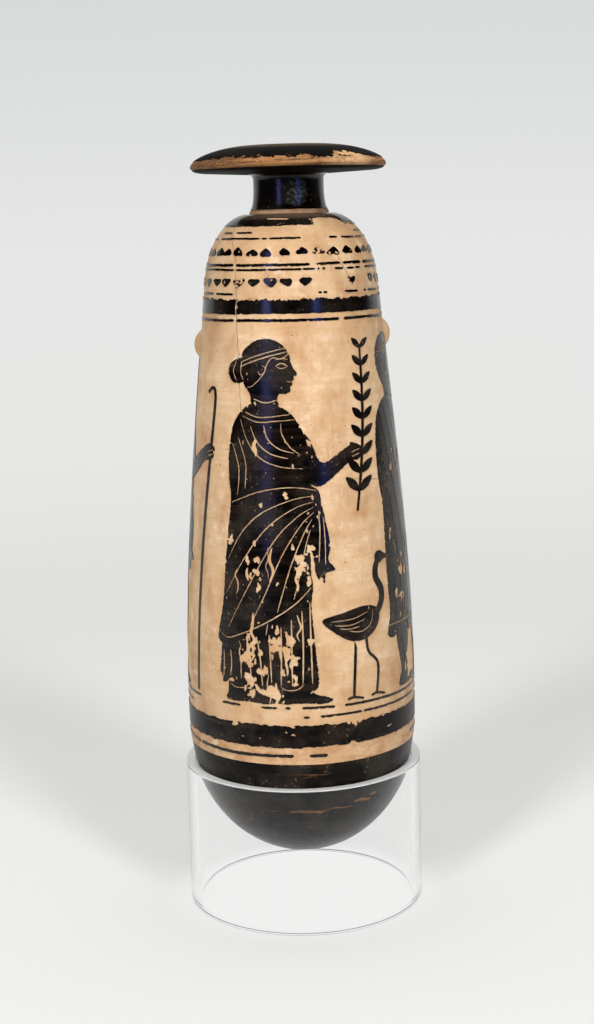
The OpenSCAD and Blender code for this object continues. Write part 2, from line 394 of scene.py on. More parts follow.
@dataclass(frozen=True)
class GlossFinish:
    """Black gloss: nearly black, browner where thin, with brush drag, dusty patches and turning scores."""

    name: str = "black_gloss"
    black: Colour = (0.0018, 0.0012, 0.001)
    thin: Colour = (0.012, 0.006, 0.0035)
    film: Colour = (0.075, 0.06, 0.046)
    speck: Colour = (0.32, 0.23, 0.15)
    highlight_speck: Colour = (0.3, 0.3, 0.29)
    film_and_sheen: Colour = (0.17, 0.11, 0.06)
    film_and_sheen_z: Flat = (189.1, 190.1)
    thinness: float = 0.3
    dusty: float = 0.3
    smooth: float = 0.1
    dull: float = 0.2
    shine: float = 0.4
    pitted: float = 0.006
    highlight_at: Triple = (0, 0, 0)
    highlight_reach: Flat = (1.4, 3.8)

    def material(self) -> Material:
        """Builds the finish.

        Returns:
            The material.
        """
        bench = NodeBench(self.name)
        drag = bench.grain(5, stretch=(0.2, 0.2, 3.0), detail=5)
        clouds = bench.grain(9, detail=5)
        ripple = bench.grain(1.9, stretch=(1, 1, 0.7), detail=2)
        fine = bench.grain(0.5, stretch=(0.6, 0.6, 1.5), detail=3)
        dust = bench.grain(0.8, detail=2, rough=0.5)
        scores = bench.grain(1.5, stretch=(0.05, 0.05, 4.0), detail=3)
        patch = bench.level(clouds, 0.45, 0.62)
        colour = bench.layer(self.black, self.thin, drag, 0.45, 0.75, 0, self.thinness)
        colour = bench.blend(bench.times(patch, 0.45 * self.dusty), colour, self.film)
        colour = bench.layer(colour, self.film, scores, 0.66, 0.74, 0, 0.6 * self.dusty)
        specks = bench.times(patch, bench.level(dust, 0.66, 0.7, 0, self.dusty))
        colour = bench.blend(specks, colour, self.speck)
        # A paler brown band between two heights along a near-flat top: partly a film, partly painted sheen.
        film_and_sheen = bench.span(bench.axes()["Z"], self.film_and_sheen_z, 0, 0.75)
        film_and_sheen = bench.times(film_and_sheen, bench.level(drag, 0.3, 0.6, 0.5, 1))
        colour = bench.blend(film_and_sheen, colour, self.film_and_sheen)
        # Pale specks round one spot on the neck are a painted highlight: the speckled glint of a lamp on
        # pitted gloss.
        if any(self.highlight_at):
            near = bench.span(bench.distance(self.highlight_at), self.highlight_reach, 1, 0)
            highlight_specks = bench.times(near, bench.level(dust, 0.46, 0.66, 0.1, 0.6))
            colour = bench.blend(highlight_specks, colour, self.highlight_speck)
        rough = bench.level(clouds, 0.3, 0.7, self.smooth, self.dull)
        normal = bench.relief((drag, 0.02), (ripple, 0.008), (fine, self.pitted))
        return bench.show(bench.surface(colour, rough, normal, self.shine))


@dataclass(frozen=True)
class ClayFinish:
    """Bare fired clay: orange brown, with wheel lines, darker smears and pale rubbed grains."""

    name: str = "fired_clay"
    orange: Colour = (0.235, 0.095, 0.034)
    pale: Colour = (0.44, 0.225, 0.087)
    brown: Colour = (0.06, 0.025, 0.011)
    ochre_and_highlight: Colour = (0.68, 0.42, 0.22)
    ochre_and_highlight_at: Triple = (15.3, -18.2, 186.2)
    ochre_and_highlight_reach: Flat = (3, 9)
    brown_at: Triple = (-22.5, -6.0, 185.4)
    brown_reach: Flat = (5, 13)
    gloss: float = 0.3

    def material(self) -> Material:
        """Builds the finish.

        Returns:
            The material.
        """
        bench = NodeBench(self.name)
        wheel = bench.grain(4, stretch=(0.15, 0.15, 4.0), detail=4)
        grooves = bench.grain(1.0, stretch=(0.1, 0.1, 1.7), detail=6, rough=0.7)
        smears = bench.grain(3.2, detail=6, rough=0.65)
        fine = bench.grain(0.35, detail=2)
        colour = bench.layer(self.orange, self.pale, wheel, 0.35, 0.7)
        colour = bench.layer(colour, self.brown, grooves, 0.45, 0.57, 0, 0.92)
        colour = bench.layer(colour, self.brown, smears, 0.5, 0.72, 0, 0.85)
        colour = bench.layer(colour, self.pale, fine, 0.52, 0.68, 0, 0.7)
        # A pale ochre patch at the rim's front right is partly rubbed clay and partly a painted highlight; a
        # brown patch darkens the rim towards its left end.
        for spot, tone, reach, share in (
            (self.ochre_and_highlight_at, self.ochre_and_highlight, self.ochre_and_highlight_reach, 0.75),
            (self.brown_at, self.brown, self.brown_reach, 0.6),
        ):
            near = bench.span(bench.distance(spot), reach, share, 0)
            colour = bench.blend(bench.times(near, bench.level(smears, 0.36, 0.52)), colour, tone)
        rough = bench.level(smears, 0.3, 0.7, 0.8, 0.6)
        normal = bench.relief((wheel, 0.08), (fine, 0.04))
        return bench.show(bench.surface(colour, rough, normal, self.gloss))


@dataclass(frozen=True)
class DirtFinish:
    """Brown dirt that lies in a hairline crack."""

    name: str = "crack_dirt"
    dark: Colour = (0.1, 0.05, 0.025)
    light: Colour = (0.3, 0.17, 0.09)
    rough: float = 0.85
    gloss: float = 0.2

    def material(self) -> Material:
        """Builds the finish.

        Returns:
            The material.
        """
        bench = NodeBench(self.name)
        clots = bench.grain(1.6, detail=4)
        colour = bench.layer(self.dark, self.light, clots, 0.35, 0.65)
        return bench.show(bench.surface(colour, self.rough, bench.relief((clots, 0.02)), self.gloss))


@dataclass(frozen=True)
class AcrylicFinish:
    """Polished clear acrylic, which lets the lamps through to what stands behind it."""

    name: str = "polished_acrylic"
    tint: Colour = (0.997, 0.998, 0.998)
    shade: Colour = (0.988, 0.992, 0.993)
    rim: Colour = (0.9, 0.91, 0.915)
    veil: Colour = (0.5, 0.5, 0.5)
    bend: float = 1.49

    def material(self) -> Material:
        """Builds the finish.

        Returns:
            The material.
        """
        bench = NodeBench(self.name)
        draw = bench.grain(9, stretch=(1, 1, 0.15), detail=3)
        facing = bench.add("ShaderNodeLayerWeight").outputs["Facing"]
        colour = bench.layer(self.shade, self.tint, draw, 0.3, 0.7)
        colour = bench.layer(colour, self.rim, facing, 0.72, 0.98, 0, 0.8)
        inputs = {"Base Color": colour, "Roughness": 0.0, "IOR": self.bend, "Specular Tint": self.veil}
        clear = bench.add("ShaderNodeBsdfPrincipled", {**inputs, "Transmission Weight": 1.0})
        open_air = bench.add("ShaderNodeBsdfTransparent", {"Color": self.tint})
        rays = bench.rays()
        passing = bench.greatest(rays["Is Shadow Ray"], rays["Is Diffuse Ray"])
        return bench.show(bench.shared(passing, clear.outputs["BSDF"], open_air.outputs["BSDF"]))


@dataclass(frozen=True)
class SawnEdgeFinish:
    """The tube's sawn ends: satin, milky and half clear."""

    name: str = "sawn_acrylic_edge"
    milk: Colour = (0.84, 0.84, 0.83)
    clear: Colour = (0.9, 0.91, 0.91)
    see_through: float = 0.35

    def material(self) -> Material:
        """Builds the finish.

        Returns:
            The material.
        """
        bench = NodeBench(self.name)
        marks = bench.grain(1.2, stretch=(1, 1, 0.4), detail=4)
        edge = bench.add("ShaderNodeBsdfPrincipled", {
            "Base Color": bench.layer(self.milk, self.clear, marks, 0.3, 0.7),
            "Roughness": bench.level(marks, 0.3, 0.7, 0.35, 0.5),
            "Normal": bench.relief((marks, 0.01)),
            "Transmission Weight": self.see_through,
        })
        return bench.show(edge.outputs["BSDF"])


@dataclass(frozen=True)
class PaperFinish:
    """Matt pale paper of the floor and backdrop; its spans are in metres from the flask's axis."""

    name: str = "backdrop_paper"
    white: Colour = (0.727, 0.727, 0.717)
    shade: Colour = (0.712, 0.717, 0.712)
    unlit: Colour = (0.02, 0.02, 0.02)
    low_glow: Colour = (0.88, 0.88, 0.87)
    high_glow: Colour = (0.69, 0.715, 0.71)
    glow_z: Flat = (0.03, 0.36)
    ring_light_pool: Flat = (0.026, 0.037)
    front: Flat = (-0.62, -0.36)
    near: Flat = (-0.3, -0.03)
    beside: Flat = (-0.05, 0.1)
    behind: Flat = (0.1, 0.3)
    away: Flat = (0.3, 0.85)
    dimmed: float = 0.8
    through: float = 0.7
    flagged: float = 0.45
    lift: float = 0.4
    fill: float = 0.35
    rough: float = 0.9
    gloss: float = 0.1

    def material(self) -> Material:
        """Builds the finish.

        Returns:
            The material.
        """
        bench = NodeBench(self.name)
        clouds = bench.grain(400, detail=2)
        fine = bench.grain(1.5, detail=2)
        axes, rays = bench.axes(), bench.rays()
        camera, glossy, diffuse = (rays[f"Is {kind} Ray"] for kind in ("Camera", "Glossy", "Diffuse"))
        passed = bench.times(rays["Is Transmission Ray"], self.through)
        cut = bench.times(glossy, bench.level(axes["Y"], *self.near, self.dimmed, 0))
        lit = bench.times(bench.level(axes["Y"], *self.front, 0.03, 1), bench.reckon("SUBTRACT", 1.0, cut))
        lit = bench.greatest(lit, passed, camera)
        colour = bench.layer(self.shade, self.white, clouds, 0.3, 0.7)
        colour = bench.blend(lit, self.unlit, colour)
        bounce = bench.times(diffuse, bench.level(axes["Y"], *self.beside, self.flagged, 0))
        colour = bench.blend(bounce, colour, self.unlit)
        paper = bench.surface(colour, self.rough, bench.relief((fine, 0.01)), self.gloss)
        tone = bench.layer(self.low_glow, self.high_glow, axes["Z"], *self.glow_z)
        glow = bench.add("ShaderNodeEmission", {"Strength": lit, "Color": tone})
        back = bench.times(diffuse, bench.level(axes["Y"], *self.behind, 0, self.fill))
        seen = bench.greatest(camera, glossy, rays["Is Transmission Ray"], back)
        flat = bench.add("ShaderNodeVectorMath", {0: bench.place, 1: (1, 1, 0)}, operation="MULTIPLY")
        length = bench.add("ShaderNodeVectorMath", {0: flat.outputs["Vector"]}, operation="LENGTH")
        reach = length.outputs["Value"]
        # Painted pool of light: inside the clear ring the floor takes more glow, and more again where it is
        # seen through the ring.
        share = bench.level(reach, *self.ring_light_pool, 0.6, 0)
        share = bench.reckon("ADD", share, bench.level(reach, *self.away, 0.38, 0.9))
        share = bench.reckon("ADD", share, bench.times(passed, self.lift))
        return bench.show(bench.shared(bench.times(seen, share), paper, glow.outputs["Emission"]))


class Profile:
    """A line of radius and height in millimetres, measured along its own length."""

    def __init__(self, points: Sequence[Flat]) -> None:
        """Measures the line.

        Args:
            points: Radius and height of each point; the outside lies to the right of the way along.
        """
        self.points = list(points)
        self.runs = [0.0]
        for (r0, z0), (r1, z1) in zip(self.points, self.points[1:]):
            self.runs.append(self.runs[-1] + math.hypot(r1 - r0, z1 - z0))
        self.normals = [self._normal(i) for i in range(len(self.points))]

    @property
    def length(self) -> float:
        """Length of the whole line."""
        return self.runs[-1]

    def _normal(self, index: int) -> Flat:
        """Direction out of the surface at a point.

        Args:
            index: Number of the point.

        Returns:
            Unit radial and vertical parts.
        """
        r0, z0 = self.points[max(0, index - 1)]
        r1, z1 = self.points[min(len(self.points) - 1, index + 1)]
        reach = math.hypot(r1 - r0, z1 - z0)
        return (z1 - z0) / reach, (r0 - r1) / reach

    def _mix(self, run: float) -> tuple[int, float]:
        """Finds the stretch that a run falls in.

        Args:
            run: Length along the line.

        Returns:
            Number of the stretch and the share of it that is passed.
        """
        low = max(0, bisect_right(self.runs, run, 0, len(self.runs) - 1) - 1)
        return low, (run - self.runs[low]) / (self.runs[low + 1] - self.runs[low])

    def at(self, run: float, lift: float = 0.0) -> Flat:
        """Finds a point on or over the line.

        Args:
            run: Length along the line.
            lift: Height over the surface.

        Returns:
            Radius and height.
        """
        i, t = self._mix(run)
        (r0, z0), (r1, z1) = self.points[i], self.points[i + 1]
        (a0, b0), (a1, b1) = self.normals[i], self.normals[i + 1]
        out_r, out_z = a0 + (a1 - a0) * t, b0 + (b1 - b0) * t
        reach = math.hypot(out_r, out_z)
        return r0 + (r1 - r0) * t + lift * out_r / reach, z0 + (z1 - z0) * t + lift * out_z / reach

    def run_at(self, height: float) -> float:
        """Finds the run at which a rising line passes a height.

        Args:
            height: Height to find.

        Returns:
            Length along the line.
        """
        low, high = 0.0, self.length
        for _ in range(HALVINGS):
            middle = (low + high) / 2
            if self.at(middle)[1] < height:
                low = middle
            else:
                high = middle
        return low

    def spot(self, azimuth: float, run: float, lift: float) -> Vector:
        """Finds a point of the turned surface.

        Args:
            azimuth: Angle from the front, towards the right, in radians.
            run: Length along the line.
            lift: Height over the surface.

        Returns:
            The point in metres.
        """
        r, z = self.at(run, lift)
        return Vector((r * math.sin(azimuth), -r * math.cos(azimuth), z)) * MM

    def coat(self, first: float, last: float, lift: Flat, step: float) -> list[Flat]:
        """Outlines a coat over part of the line.

        Args:
            first: Run of the first point.
            last: Run of the last point.
            lift: Heights of the coat's inner and outer face over the surface.
            step: Longest distance between points.

        Returns:
            Radius and height of each point, back to the first.
        """
        count = max(1, math.ceil(abs(last - first) / step))
        runs = [first + (last - first) * i / count for i in range(count + 1)]
        outside = [self.at(run, lift[1]) for run in runs]
        inside = [self.at(run, lift[0]) for run in runs]
        return outside + inside[::-1] + outside[:1]


def arc(mid: Flat, reach: Flat, first: float, last: float, steps: int) -> list[Flat]:
    """Samples part of an ellipse.

    Args:
        mid: Centre.
        reach: Half axes.
        first: First angle in degrees.
        last: Last angle in degrees.
        steps: Number of stretches.

    Returns:
        The points.
    """
    angles = [math.radians(first + (last - first) * i / steps) for i in range(steps + 1)]
    return [(mid[0] + reach[0] * math.cos(a), mid[1] + reach[1] * math.sin(a)) for a in angles]


def turns(count: int) -> list[float]:
    """Even steps round a full turn, in radians."""
    return [math.tau * i / count for i in range(count)]


def polar(reach: float, azimuth: float, way: int = 1) -> Flat:
    """Flat point at a reach and azimuth, for a surface seen from below, or with way -1 from above."""
    return reach * math.sin(azimuth), way * reach * math.cos(azimuth)


@dataclass
class FlaskForm:
    """Sizes of the thrown flask in millimetres, and the lines that its surfaces follow."""

    body_r: float
    base_z: float
    wall_z: float
    top_z: float
    top_r: float
    collar_z: float
    mouth_z: float
    mouth_r: float
    crown_z: float
    collar_r: float = 9.7
    neck_r: float = 8.45
    swell: float = 0.75
    lean: float = 3.55
    dip: float = 2.5
    wall_t: float = 4.0
    bore_r: float = 5.75
    collar_h: float = 1.2
    flare: Flat = (1.05, 5.2)
    fillet: float = 1.3
    rim_rise: float = 1.9
    under_rise: float = 0.6
    rim_round: float = 3.0
    crown_r: float = 9.7
    dome_power: float = 1.7
    lip_round: float = 2.0
    ground_lift: Flat = (0.03, 0.28)
    over_lift: Flat = (0.31, 0.43)
    bare_lift: Flat = (0.03, 0.15)

    @classmethod
    def from_frame(cls) -> FlaskForm:
        """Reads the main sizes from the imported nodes.

        Returns:
            The form.
        """
        base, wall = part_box("base_bowl"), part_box("body_wall")
        shoulder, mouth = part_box("shoulder"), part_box("mouth_disc")
        return cls(
            body_r=base[1].x / MM, base_z=base[0].z / MM, wall_z=wall[0].z / MM, top_z=wall[1].z / MM,
            top_r=shoulder[1].x / MM, collar_z=shoulder[1].z / MM, mouth_z=mouth[0].z / MM,
            mouth_r=mouth[1].x / MM, crown_z=mouth[1].z / MM,
        )

    def _wall(self, inset: float, steps: int) -> list[Flat]:
        """Samples the tapering wall from the base to the shoulder.

        Args:
            inset: Distance inside the outer face.
            steps: Number of stretches.

        Returns:
            Radius and height of each point.
        """
        guides = (self.body_r, self.body_r + self.swell, self.top_r + self.lean, self.top_r)
        points = []
        for i in range(steps + 1):
            t = i / steps
            parts = ((1 - t) ** 3, 3 * t * (1 - t) ** 2, 3 * t * t * (1 - t), t ** 3)
            r = sum(g * p for g, p in zip(guides, parts))
            points.append((r - inset, self.wall_z + (self.top_z - self.wall_z) * t))
        return points

    def outside(self) -> list[Flat]:
        """Samples the outer face from the lowest point to the collar.

        Returns:
            Radius and height of each point.
        """
        half = self.collar_z - self.top_z + self.dip
        start = math.asin(self.dip / half)
        reach = (self.top_r - self.collar_r) / math.cos(start)
        base = arc((0, self.wall_z), (self.body_r, self.wall_z - self.base_z), -90, 0, 36)
        shoulder = arc((self.collar_r, self.top_z - self.dip), (reach, half), math.degrees(start), 90, 28)
        return base + self._wall(0, 64)[1:] + shoulder[1:]

    def inside(self) -> list[Flat]:
        """Samples the inner face from the lowest point to the bore.

        Returns:
            Radius and height of each point.
        """
        t = self.wall_t
        half = self.collar_z - self.top_z + self.dip - t
        start = math.asin(self.dip / half)
        reach = (self.top_r - t - self.collar_r) / math.cos(start)
        base = arc((0, self.wall_z), (self.body_r - t, self.wall_z - self.base_z - t), -90, 0, 20)
        shoulder = arc((self.collar_r, self.top_z - self.dip), (reach, half), math.degrees(start), 90, 12)
        return base + self._wall(t, 24)[1:] + shoulder[1:] + [(self.bore_r, shoulder[-1][1])]

    def neck_side(self) -> list[Flat]:
        """Samples the neck's outer face above the collar.

        Returns:
            Radius and height of each point.
        """
        low = self.collar_z + self.collar_h + self.flare[1]
        high = self.mouth_z - self.fillet
        foot = arc((self.neck_r + self.flare[0], low), (-self.flare[0], -self.flare[1]), 90, 0, 8)
        head = arc((self.neck_r + self.fillet, high), (-self.fillet, self.fillet), 0, 90, 8)
        return foot + head

    def dome(self) -> list[Flat]:
        """Samples the mouth's top from the rim to the bore.

        Returns:
            Radius and height of each point.
        """
        power = 2 / self.dome_power
        rise = self.crown_z - self.mouth_z - self.rim_rise
        points = []
        steps = 40
        for i in range(steps + 1):
            a = math.radians(90 * i / steps)
            r = self.crown_r + (self.mouth_r - self.crown_r) * max(0.0, math.cos(a)) ** power
            points.append((r, self.mouth_z + self.rim_rise + rise * math.sin(a) ** power))
        lip = arc((self.bore_r + self.lip_round, self.crown_z - self.lip_round),
                  (-self.lip_round, self.lip_round), 90, 0, 8)
        return points + lip

    def under(self) -> list[Flat]:
        """Samples the mouth's underside from the neck to the rim.

        Returns:
            Radius and height of each point.
        """
        inner = self.neck_r + self.fillet
        outer = self.mouth_r - self.rim_round
        steps = 12
        slope = []
        for i in range(steps + 1):
            slope.append((inner + (outer - inner) * i / steps, self.mouth_z + self.under_rise * i / steps))
        rim = arc((outer, self.mouth_z + self.rim_rise), (self.rim_round, self.rim_rise - self.under_rise),
                  -90, 0, 10)
        return slope + rim[1:]


# Waves in one turn of a painted edge, and the share of a belt that keeps chips off its seam.
SOFT_WAVES = (2, 5, 9)
SHARP_WAVES = (31, 47, 73)
RIM_WAVES = (3, 8, 17, 31)
OFF_SEAM = 0.98


@dataclass(frozen=True)
class Wobble:
    """A wavy departure from a true line, which closes on itself after one turn."""

    reach: float
    waves: tuple[int, ...]
    seed: int

    def at(self, azimuth: float) -> float:
        """Departure at an angle.

        Args:
            azimuth: Angle in radians.

        Returns:
            The departure in millimetres.
        """
        total = 0.0
        for i, wave in enumerate(self.waves):
            total += math.sin(wave * azimuth + 1.7 * self.seed * (i + 1)) / (1 + 0.45 * i)
        return self.reach * total / 1.8


class Layout(Protocol):
    """A way to wrap flat paintwork on a turned surface."""

    def place(self, x: float, y: float) -> Flat:
        """Gives the azimuth and run of a flat point."""


@dataclass(frozen=True)
class Unrolled:
    """A belt that is unrolled at one radius: flat y is the run."""

    radius: float

    @property
    def half(self) -> float:
        """Half the length of the belt."""
        return math.pi * self.radius

    def place(self, x: float, y: float) -> Flat:
        """Gives the azimuth and run of a flat point."""
        return x / self.radius, y

    def across(self, azimuth: float) -> float:
        """Flat x of an azimuth in degrees."""
        return math.radians(azimuth) * self.radius

    def spread(self, count: int) -> list[float]:
        """Even steps along the whole belt."""
        half = self.half
        return [-half + 2 * half * i / count for i in range(count + 1)]


@dataclass(frozen=True)
class FromBelow:
    """A round surface laid flat as seen from below, with the front at the top."""

    def place(self, x: float, y: float) -> Flat:
        """Gives the azimuth and run of a flat point."""
        return math.atan2(x, y), math.hypot(x, y)


@dataclass(frozen=True)
class FromAbove:
    """A round surface laid flat as seen from above, whose runs start at its rim."""

    reach: float

    def place(self, x: float, y: float) -> Flat:
        """Gives the azimuth and run of a flat point."""
        return math.atan2(x, -y), self.reach - math.hypot(x, y)


@dataclass(frozen=True)
class Upright:
    """A picture that keeps its own widths on a tapering wall."""

    profile: Profile
    azimuth: float
    foot: float
    size: float

    def place(self, x: float, y: float) -> Flat:
        """Gives the azimuth and run of a flat point."""
        run = self.foot + y * self.size
        return self.azimuth + x * self.size / self.profile.at(run)[0], run


def clear_selection() -> None:
    """Leaves edit mode with nothing selected, so that the next operator only meets the next piece."""
    if bpy.context.object is not None and bpy.context.object.mode != "OBJECT":
        bpy.ops.object.mode_set(mode="OBJECT")
    bpy.ops.object.select_all(action="DESELECT")


def weld(piece: Piece, closed: bool) -> None:
    """Merges a piece's doubles and leaves it active.

    Args:
        piece: Piece to weld.
        closed: Whether it is a closed shape, whose faces are pointed outwards.
    """
    clear_selection()
    bpy.context.view_layer.objects.active = piece
    piece.select_set(True)
    bpy.ops.object.mode_set(mode="EDIT")
    bpy.ops.mesh.select_all(action="SELECT")
    bpy.ops.mesh.remove_doubles(threshold=DOUBLES)
    if closed:
        bpy.ops.mesh.normals_make_consistent(inside=False)
        # The operator can turn a cut piece inside out, so the sign of the volume has the last word.
        if bmesh.from_edit_mesh(piece.data).calc_volume(signed=True) < 0:
            bpy.ops.mesh.flip_normals()
    bpy.ops.object.mode_set(mode="OBJECT")


def close_up(piece: Piece) -> None:
    """Welds a closed piece and shades it."""
    weld(piece, True)
    bpy.ops.object.shade_smooth_by_angle(angle=CREASE)


def turn_on_wheel(name: str, outline: Sequence[Flat], steps: int = 160) -> Piece:
    """Throws a piece: draws its outline by extruding one point, then spins it round the axis.

    Args:
        name: Name of the piece.
        outline: Radius and height of each point in millimetres.
        steps: Number of stretches round the axis.

    Returns:
        The finished mesh object.
    """
    clear_selection()
    bpy.ops.mesh.primitive_plane_add(size=2 * MM)
    piece = bpy.context.object
    piece.name = name
    bpy.ops.object.mode_set(mode="EDIT")
    bpy.ops.mesh.select_mode(type="VERT")
    bpy.ops.mesh.merge(type="CENTER")
    bpy.ops.transform.translate(value=(outline[0][0] * MM, 0, outline[0][1] * MM))
    for (r0, z0), (r1, z1) in zip(outline, outline[1:]):
        step = ((r1 - r0) * MM, 0, (z1 - z0) * MM)
        bpy.ops.mesh.extrude_region_move(TRANSFORM_OT_translate={"value": step})
    bpy.ops.mesh.select_all(action="SELECT")
    bpy.ops.mesh.spin(steps=steps, angle=math.tau, center=(0, 0, 0), axis=(0, 0, 1))
    bpy.ops.object.mode_set(mode="OBJECT")
    close_up(piece)
    return piece


def hand_over(piece: Piece, body: Body, finish: Material,
              nodes: Sequence[str] = ()) -> None:
    """Dresses a piece, lets it ride on its body and hides the nodes that it stands for.

    Args:
        piece: Finished piece.
        body: Body that it moves with.
        finish: Material, unless the piece has its own already.
        nodes: CAD nodes that it replaces.
    """
    if not piece.data.materials:
        piece.data.materials.append(finish)
    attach(piece, body.value)
    if nodes:
        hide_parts(*nodes)
    log.info("%s: %d faces on %s", piece.name, len(piece.data.polygons), body.value)


def area_of(outline: Sequence[Flat]) -> float:
    """Signed area of a flat outline; positive where it runs anticlockwise."""
    return sum(a[0] * b[1] - b[0] * a[1] for a, b in zip(outline, [*outline[1:], outline[0]])) / 2


def between(a: float, b: float, c: float, d: float, t: float) -> float:
    """Value at a share t of the way from b to c, on a smooth line through four values."""
    bend = (2 * a - 5 * b + 4 * c - d) * t * t
    return 0.5 * (2 * b + (c - a) * t + bend + (3 * b - a - 3 * c + d) * t ** 3)


def rounded(points: Sequence[Flat], step: float = 0.7, closed: bool = True) -> list[Flat]:
    """Draws a smooth line through points.

    Args:
        points: Points that the line passes.
        step: Distance between the new points.
        closed: Whether the line comes back to its start.

    Returns:
        The sampled line.
    """
    count = len(points)
    line: list[Flat] = []
    for i in range(count if closed else count - 1):
        near = range(i - 1, i + 3)
        knots = [points[k % count if closed else min(max(k, 0), count - 1)] for k in near]
        pieces = max(1, round(math.dist(knots[1], knots[2]) / step))
        for j in range(pieces):
            line.append(tuple(between(*values, j / pieces) for values in zip(*knots)))
    return line if closed else [*line, points[-1]]


def stroke(points: Sequence[Flat], width: float, step: float = 0.7, taper: float = 0.5) -> list[Flat]:
    """Outlines a brush or scratch stroke along a smooth line.

    Args:
        points: Points that the stroke passes.
        width: Width at the middle.
        step: Distance between the outline's points.
        taper: Share of the width that is left at both ends.

    Returns:
        The closed outline.
    """
    line = rounded(points, step, closed=False)
    left: list[Flat] = []
    right: list[Flat] = []
    last = len(line) - 1
    for i, (x, y) in enumerate(line):
        (x0, y0), (x1, y1) = line[max(0, i - 1)], line[min(last, i + 1)]
        reach = math.hypot(x1 - x0, y1 - y0) or 1.0
        half = width / 2 * (taper + (1 - taper) * max(0.0, math.sin(math.pi * i / last)) ** 0.5)
        left.append((x - (y1 - y0) / reach * half, y + (x1 - x0) / reach * half))
        right.append((x + (y1 - y0) / reach * half, y - (x1 - x0) / reach * half))
    return left + right[::-1]


def flake(rng: random.Random, x: float, y: float, wide: float, high: float) -> list[Flat]:
    """Outlines a ragged patch.

    Args:
        rng: Seeded chance.
        x: Middle of the patch.
        y: Middle of the patch.
        wide: Half its width.
        high: Half its height.

    Returns:
        The closed outline.
    """
    count = rng.randint(11, 17)
    first, second, third = (rng.uniform(0, math.tau) for _ in range(3))
    points = []
    for a in turns(count):
        reach = 0.78 + 0.2 * math.sin(2 * a + first) + 0.14 * math.sin(3 * a + second)
        reach += 0.1 * math.sin(5 * a + third) + rng.uniform(-0.12, 0.12)
        points.append((x + wide * reach * math.cos(a), y + high * reach * math.sin(a)))
    return points


def ragged(rng: random.Random, outline: Sequence[Flat], reach: float) -> list[Flat]:
    """Shakes an outline, as crumbling paint leaves it.

    Args:
        rng: Seeded chance.
        outline: Closed outline.
        reach: Greatest shift of a point.

    Returns:
        The shaken outline.
    """
    return [(x + rng.uniform(-reach, reach), y + rng.uniform(-reach, reach)) for x, y in outline]


@dataclass
class PaintSheet:
    """Flat paintwork with its bare gaps, which is wrapped on a turned surface as a thin coat."""

    profile: Profile
    layout: Layout
    grain: float = 1.6
    painted: list[list[Flat]] = field(default_factory=list)
    bared: list[list[Flat]] = field(default_factory=list)

    def paint(self, outline: Sequence[Flat]) -> None:
        """Adds a painted area."""
        self.painted.append(self._wound(outline))

    def bare(self, outline: Sequence[Flat]) -> None:
        """Takes the paint off an area."""
        self.bared.append(self._wound(outline))

    @staticmethod
    def _wound(outline: Sequence[Flat]) -> list[Flat]:
        """Turns an outline anticlockwise."""
        return list(outline) if area_of(outline) > 0 else list(outline)[::-1]

    def build(self, name: str, lift: Flat) -> Piece:
        """Wraps the paintwork as a closed coat.

        Args:
            name: Name of the piece.
            lift: Heights of the coat's inner and outer face over the surface.

        Returns:
            The mesh object.
        """
        points: list[Vector] = []
        faces: list[list[int]] = []
        for outline in self.painted + self.bared:
            faces.append(list(range(len(points), len(points) + len(outline))))
            points.extend(Vector(p) for p in outline)
        for outline in self.painted:
            points.extend(self._helpers(outline))
        spots, _, triangles, _, _, owners = delaunay_2d_cdt(points, [], faces, 1, 1e-5)
        coats = len(self.painted)
        kept = [t for t, own in zip(triangles, owners) if own and min(own) < coats and max(own) < coats]
        used = sorted({i for t in kept for i in t})
        index = {old: new for new, old in enumerate(used)}
        wrapped = [self.profile.spot(*self.layout.place(*spots[i]), lift[1]) for i in used]
        mesh = bpy.data.meshes.new(name)
        mesh.from_pydata(wrapped, [], [[index[i] for i in t] for t in kept])
        piece = bpy.data.objects.new(name, mesh)
        bpy.context.collection.objects.link(piece)
        self._thicken(piece, lift[1] - lift[0])
        return piece

    def _helpers(self, outline: Sequence[Flat]) -> list[Vector]:
        """Fills an outline with evenly spaced points, so that the coat bends with the surface.

        Args:
            outline: Painted outline.

        Returns:
            The points.
        """
        xs, ys = [p[0] for p in outline], [p[1] for p in outline]
        across = range(math.floor(min(xs) / self.grain), math.ceil(max(xs) / self.grain) + 1)
        up = range(math.floor(min(ys) / self.grain), math.ceil(max(ys) / self.grain) + 1)
        spots = [(i * self.grain + 0.5 * self.grain * (j % 2), j * self.grain) for i in across for j in up]
        return [Vector(s) for s in spots if self._holds(outline, s)]

    @staticmethod
    def _holds(outline: Sequence[Flat], spot: Flat) -> bool:
        """Tells whether a point lies inside an outline.

        Args:
            outline: Closed outline.
            spot: The point.

        Returns:
            True if it does.
        """
        x, y = spot
        inside = False
        for (x0, y0), (x1, y1) in zip(outline, [*outline[1:], outline[0]]):
            if (y0 > y) != (y1 > y) and x < x0 + (y - y0) / (y1 - y0) * (x1 - x0):
                inside = not inside
        return inside

    @staticmethod
    def _thicken(piece: Piece, thickness: float) -> None:
        """Gives a wrapped sheet its thickness, inwards.

        Args:
            piece: Wrapped sheet.
            thickness: Thickness in millimetres.
        """
        weld(piece, False)
        solid = piece.modifiers.new("coat", "SOLIDIFY")
        solid.thickness = thickness * MM
        solid.offset = -1
        bpy.ops.object.modifier_apply(modifier=solid.name)
        bpy.ops.object.shade_smooth_by_angle(angle=CREASE)


class RingFace(IntEnum):
    """The finishes of the clear ring, in the order of its material slots."""

    WALL = 0
    SAWN = 1
    CORNER = 2
    SEAM = 3


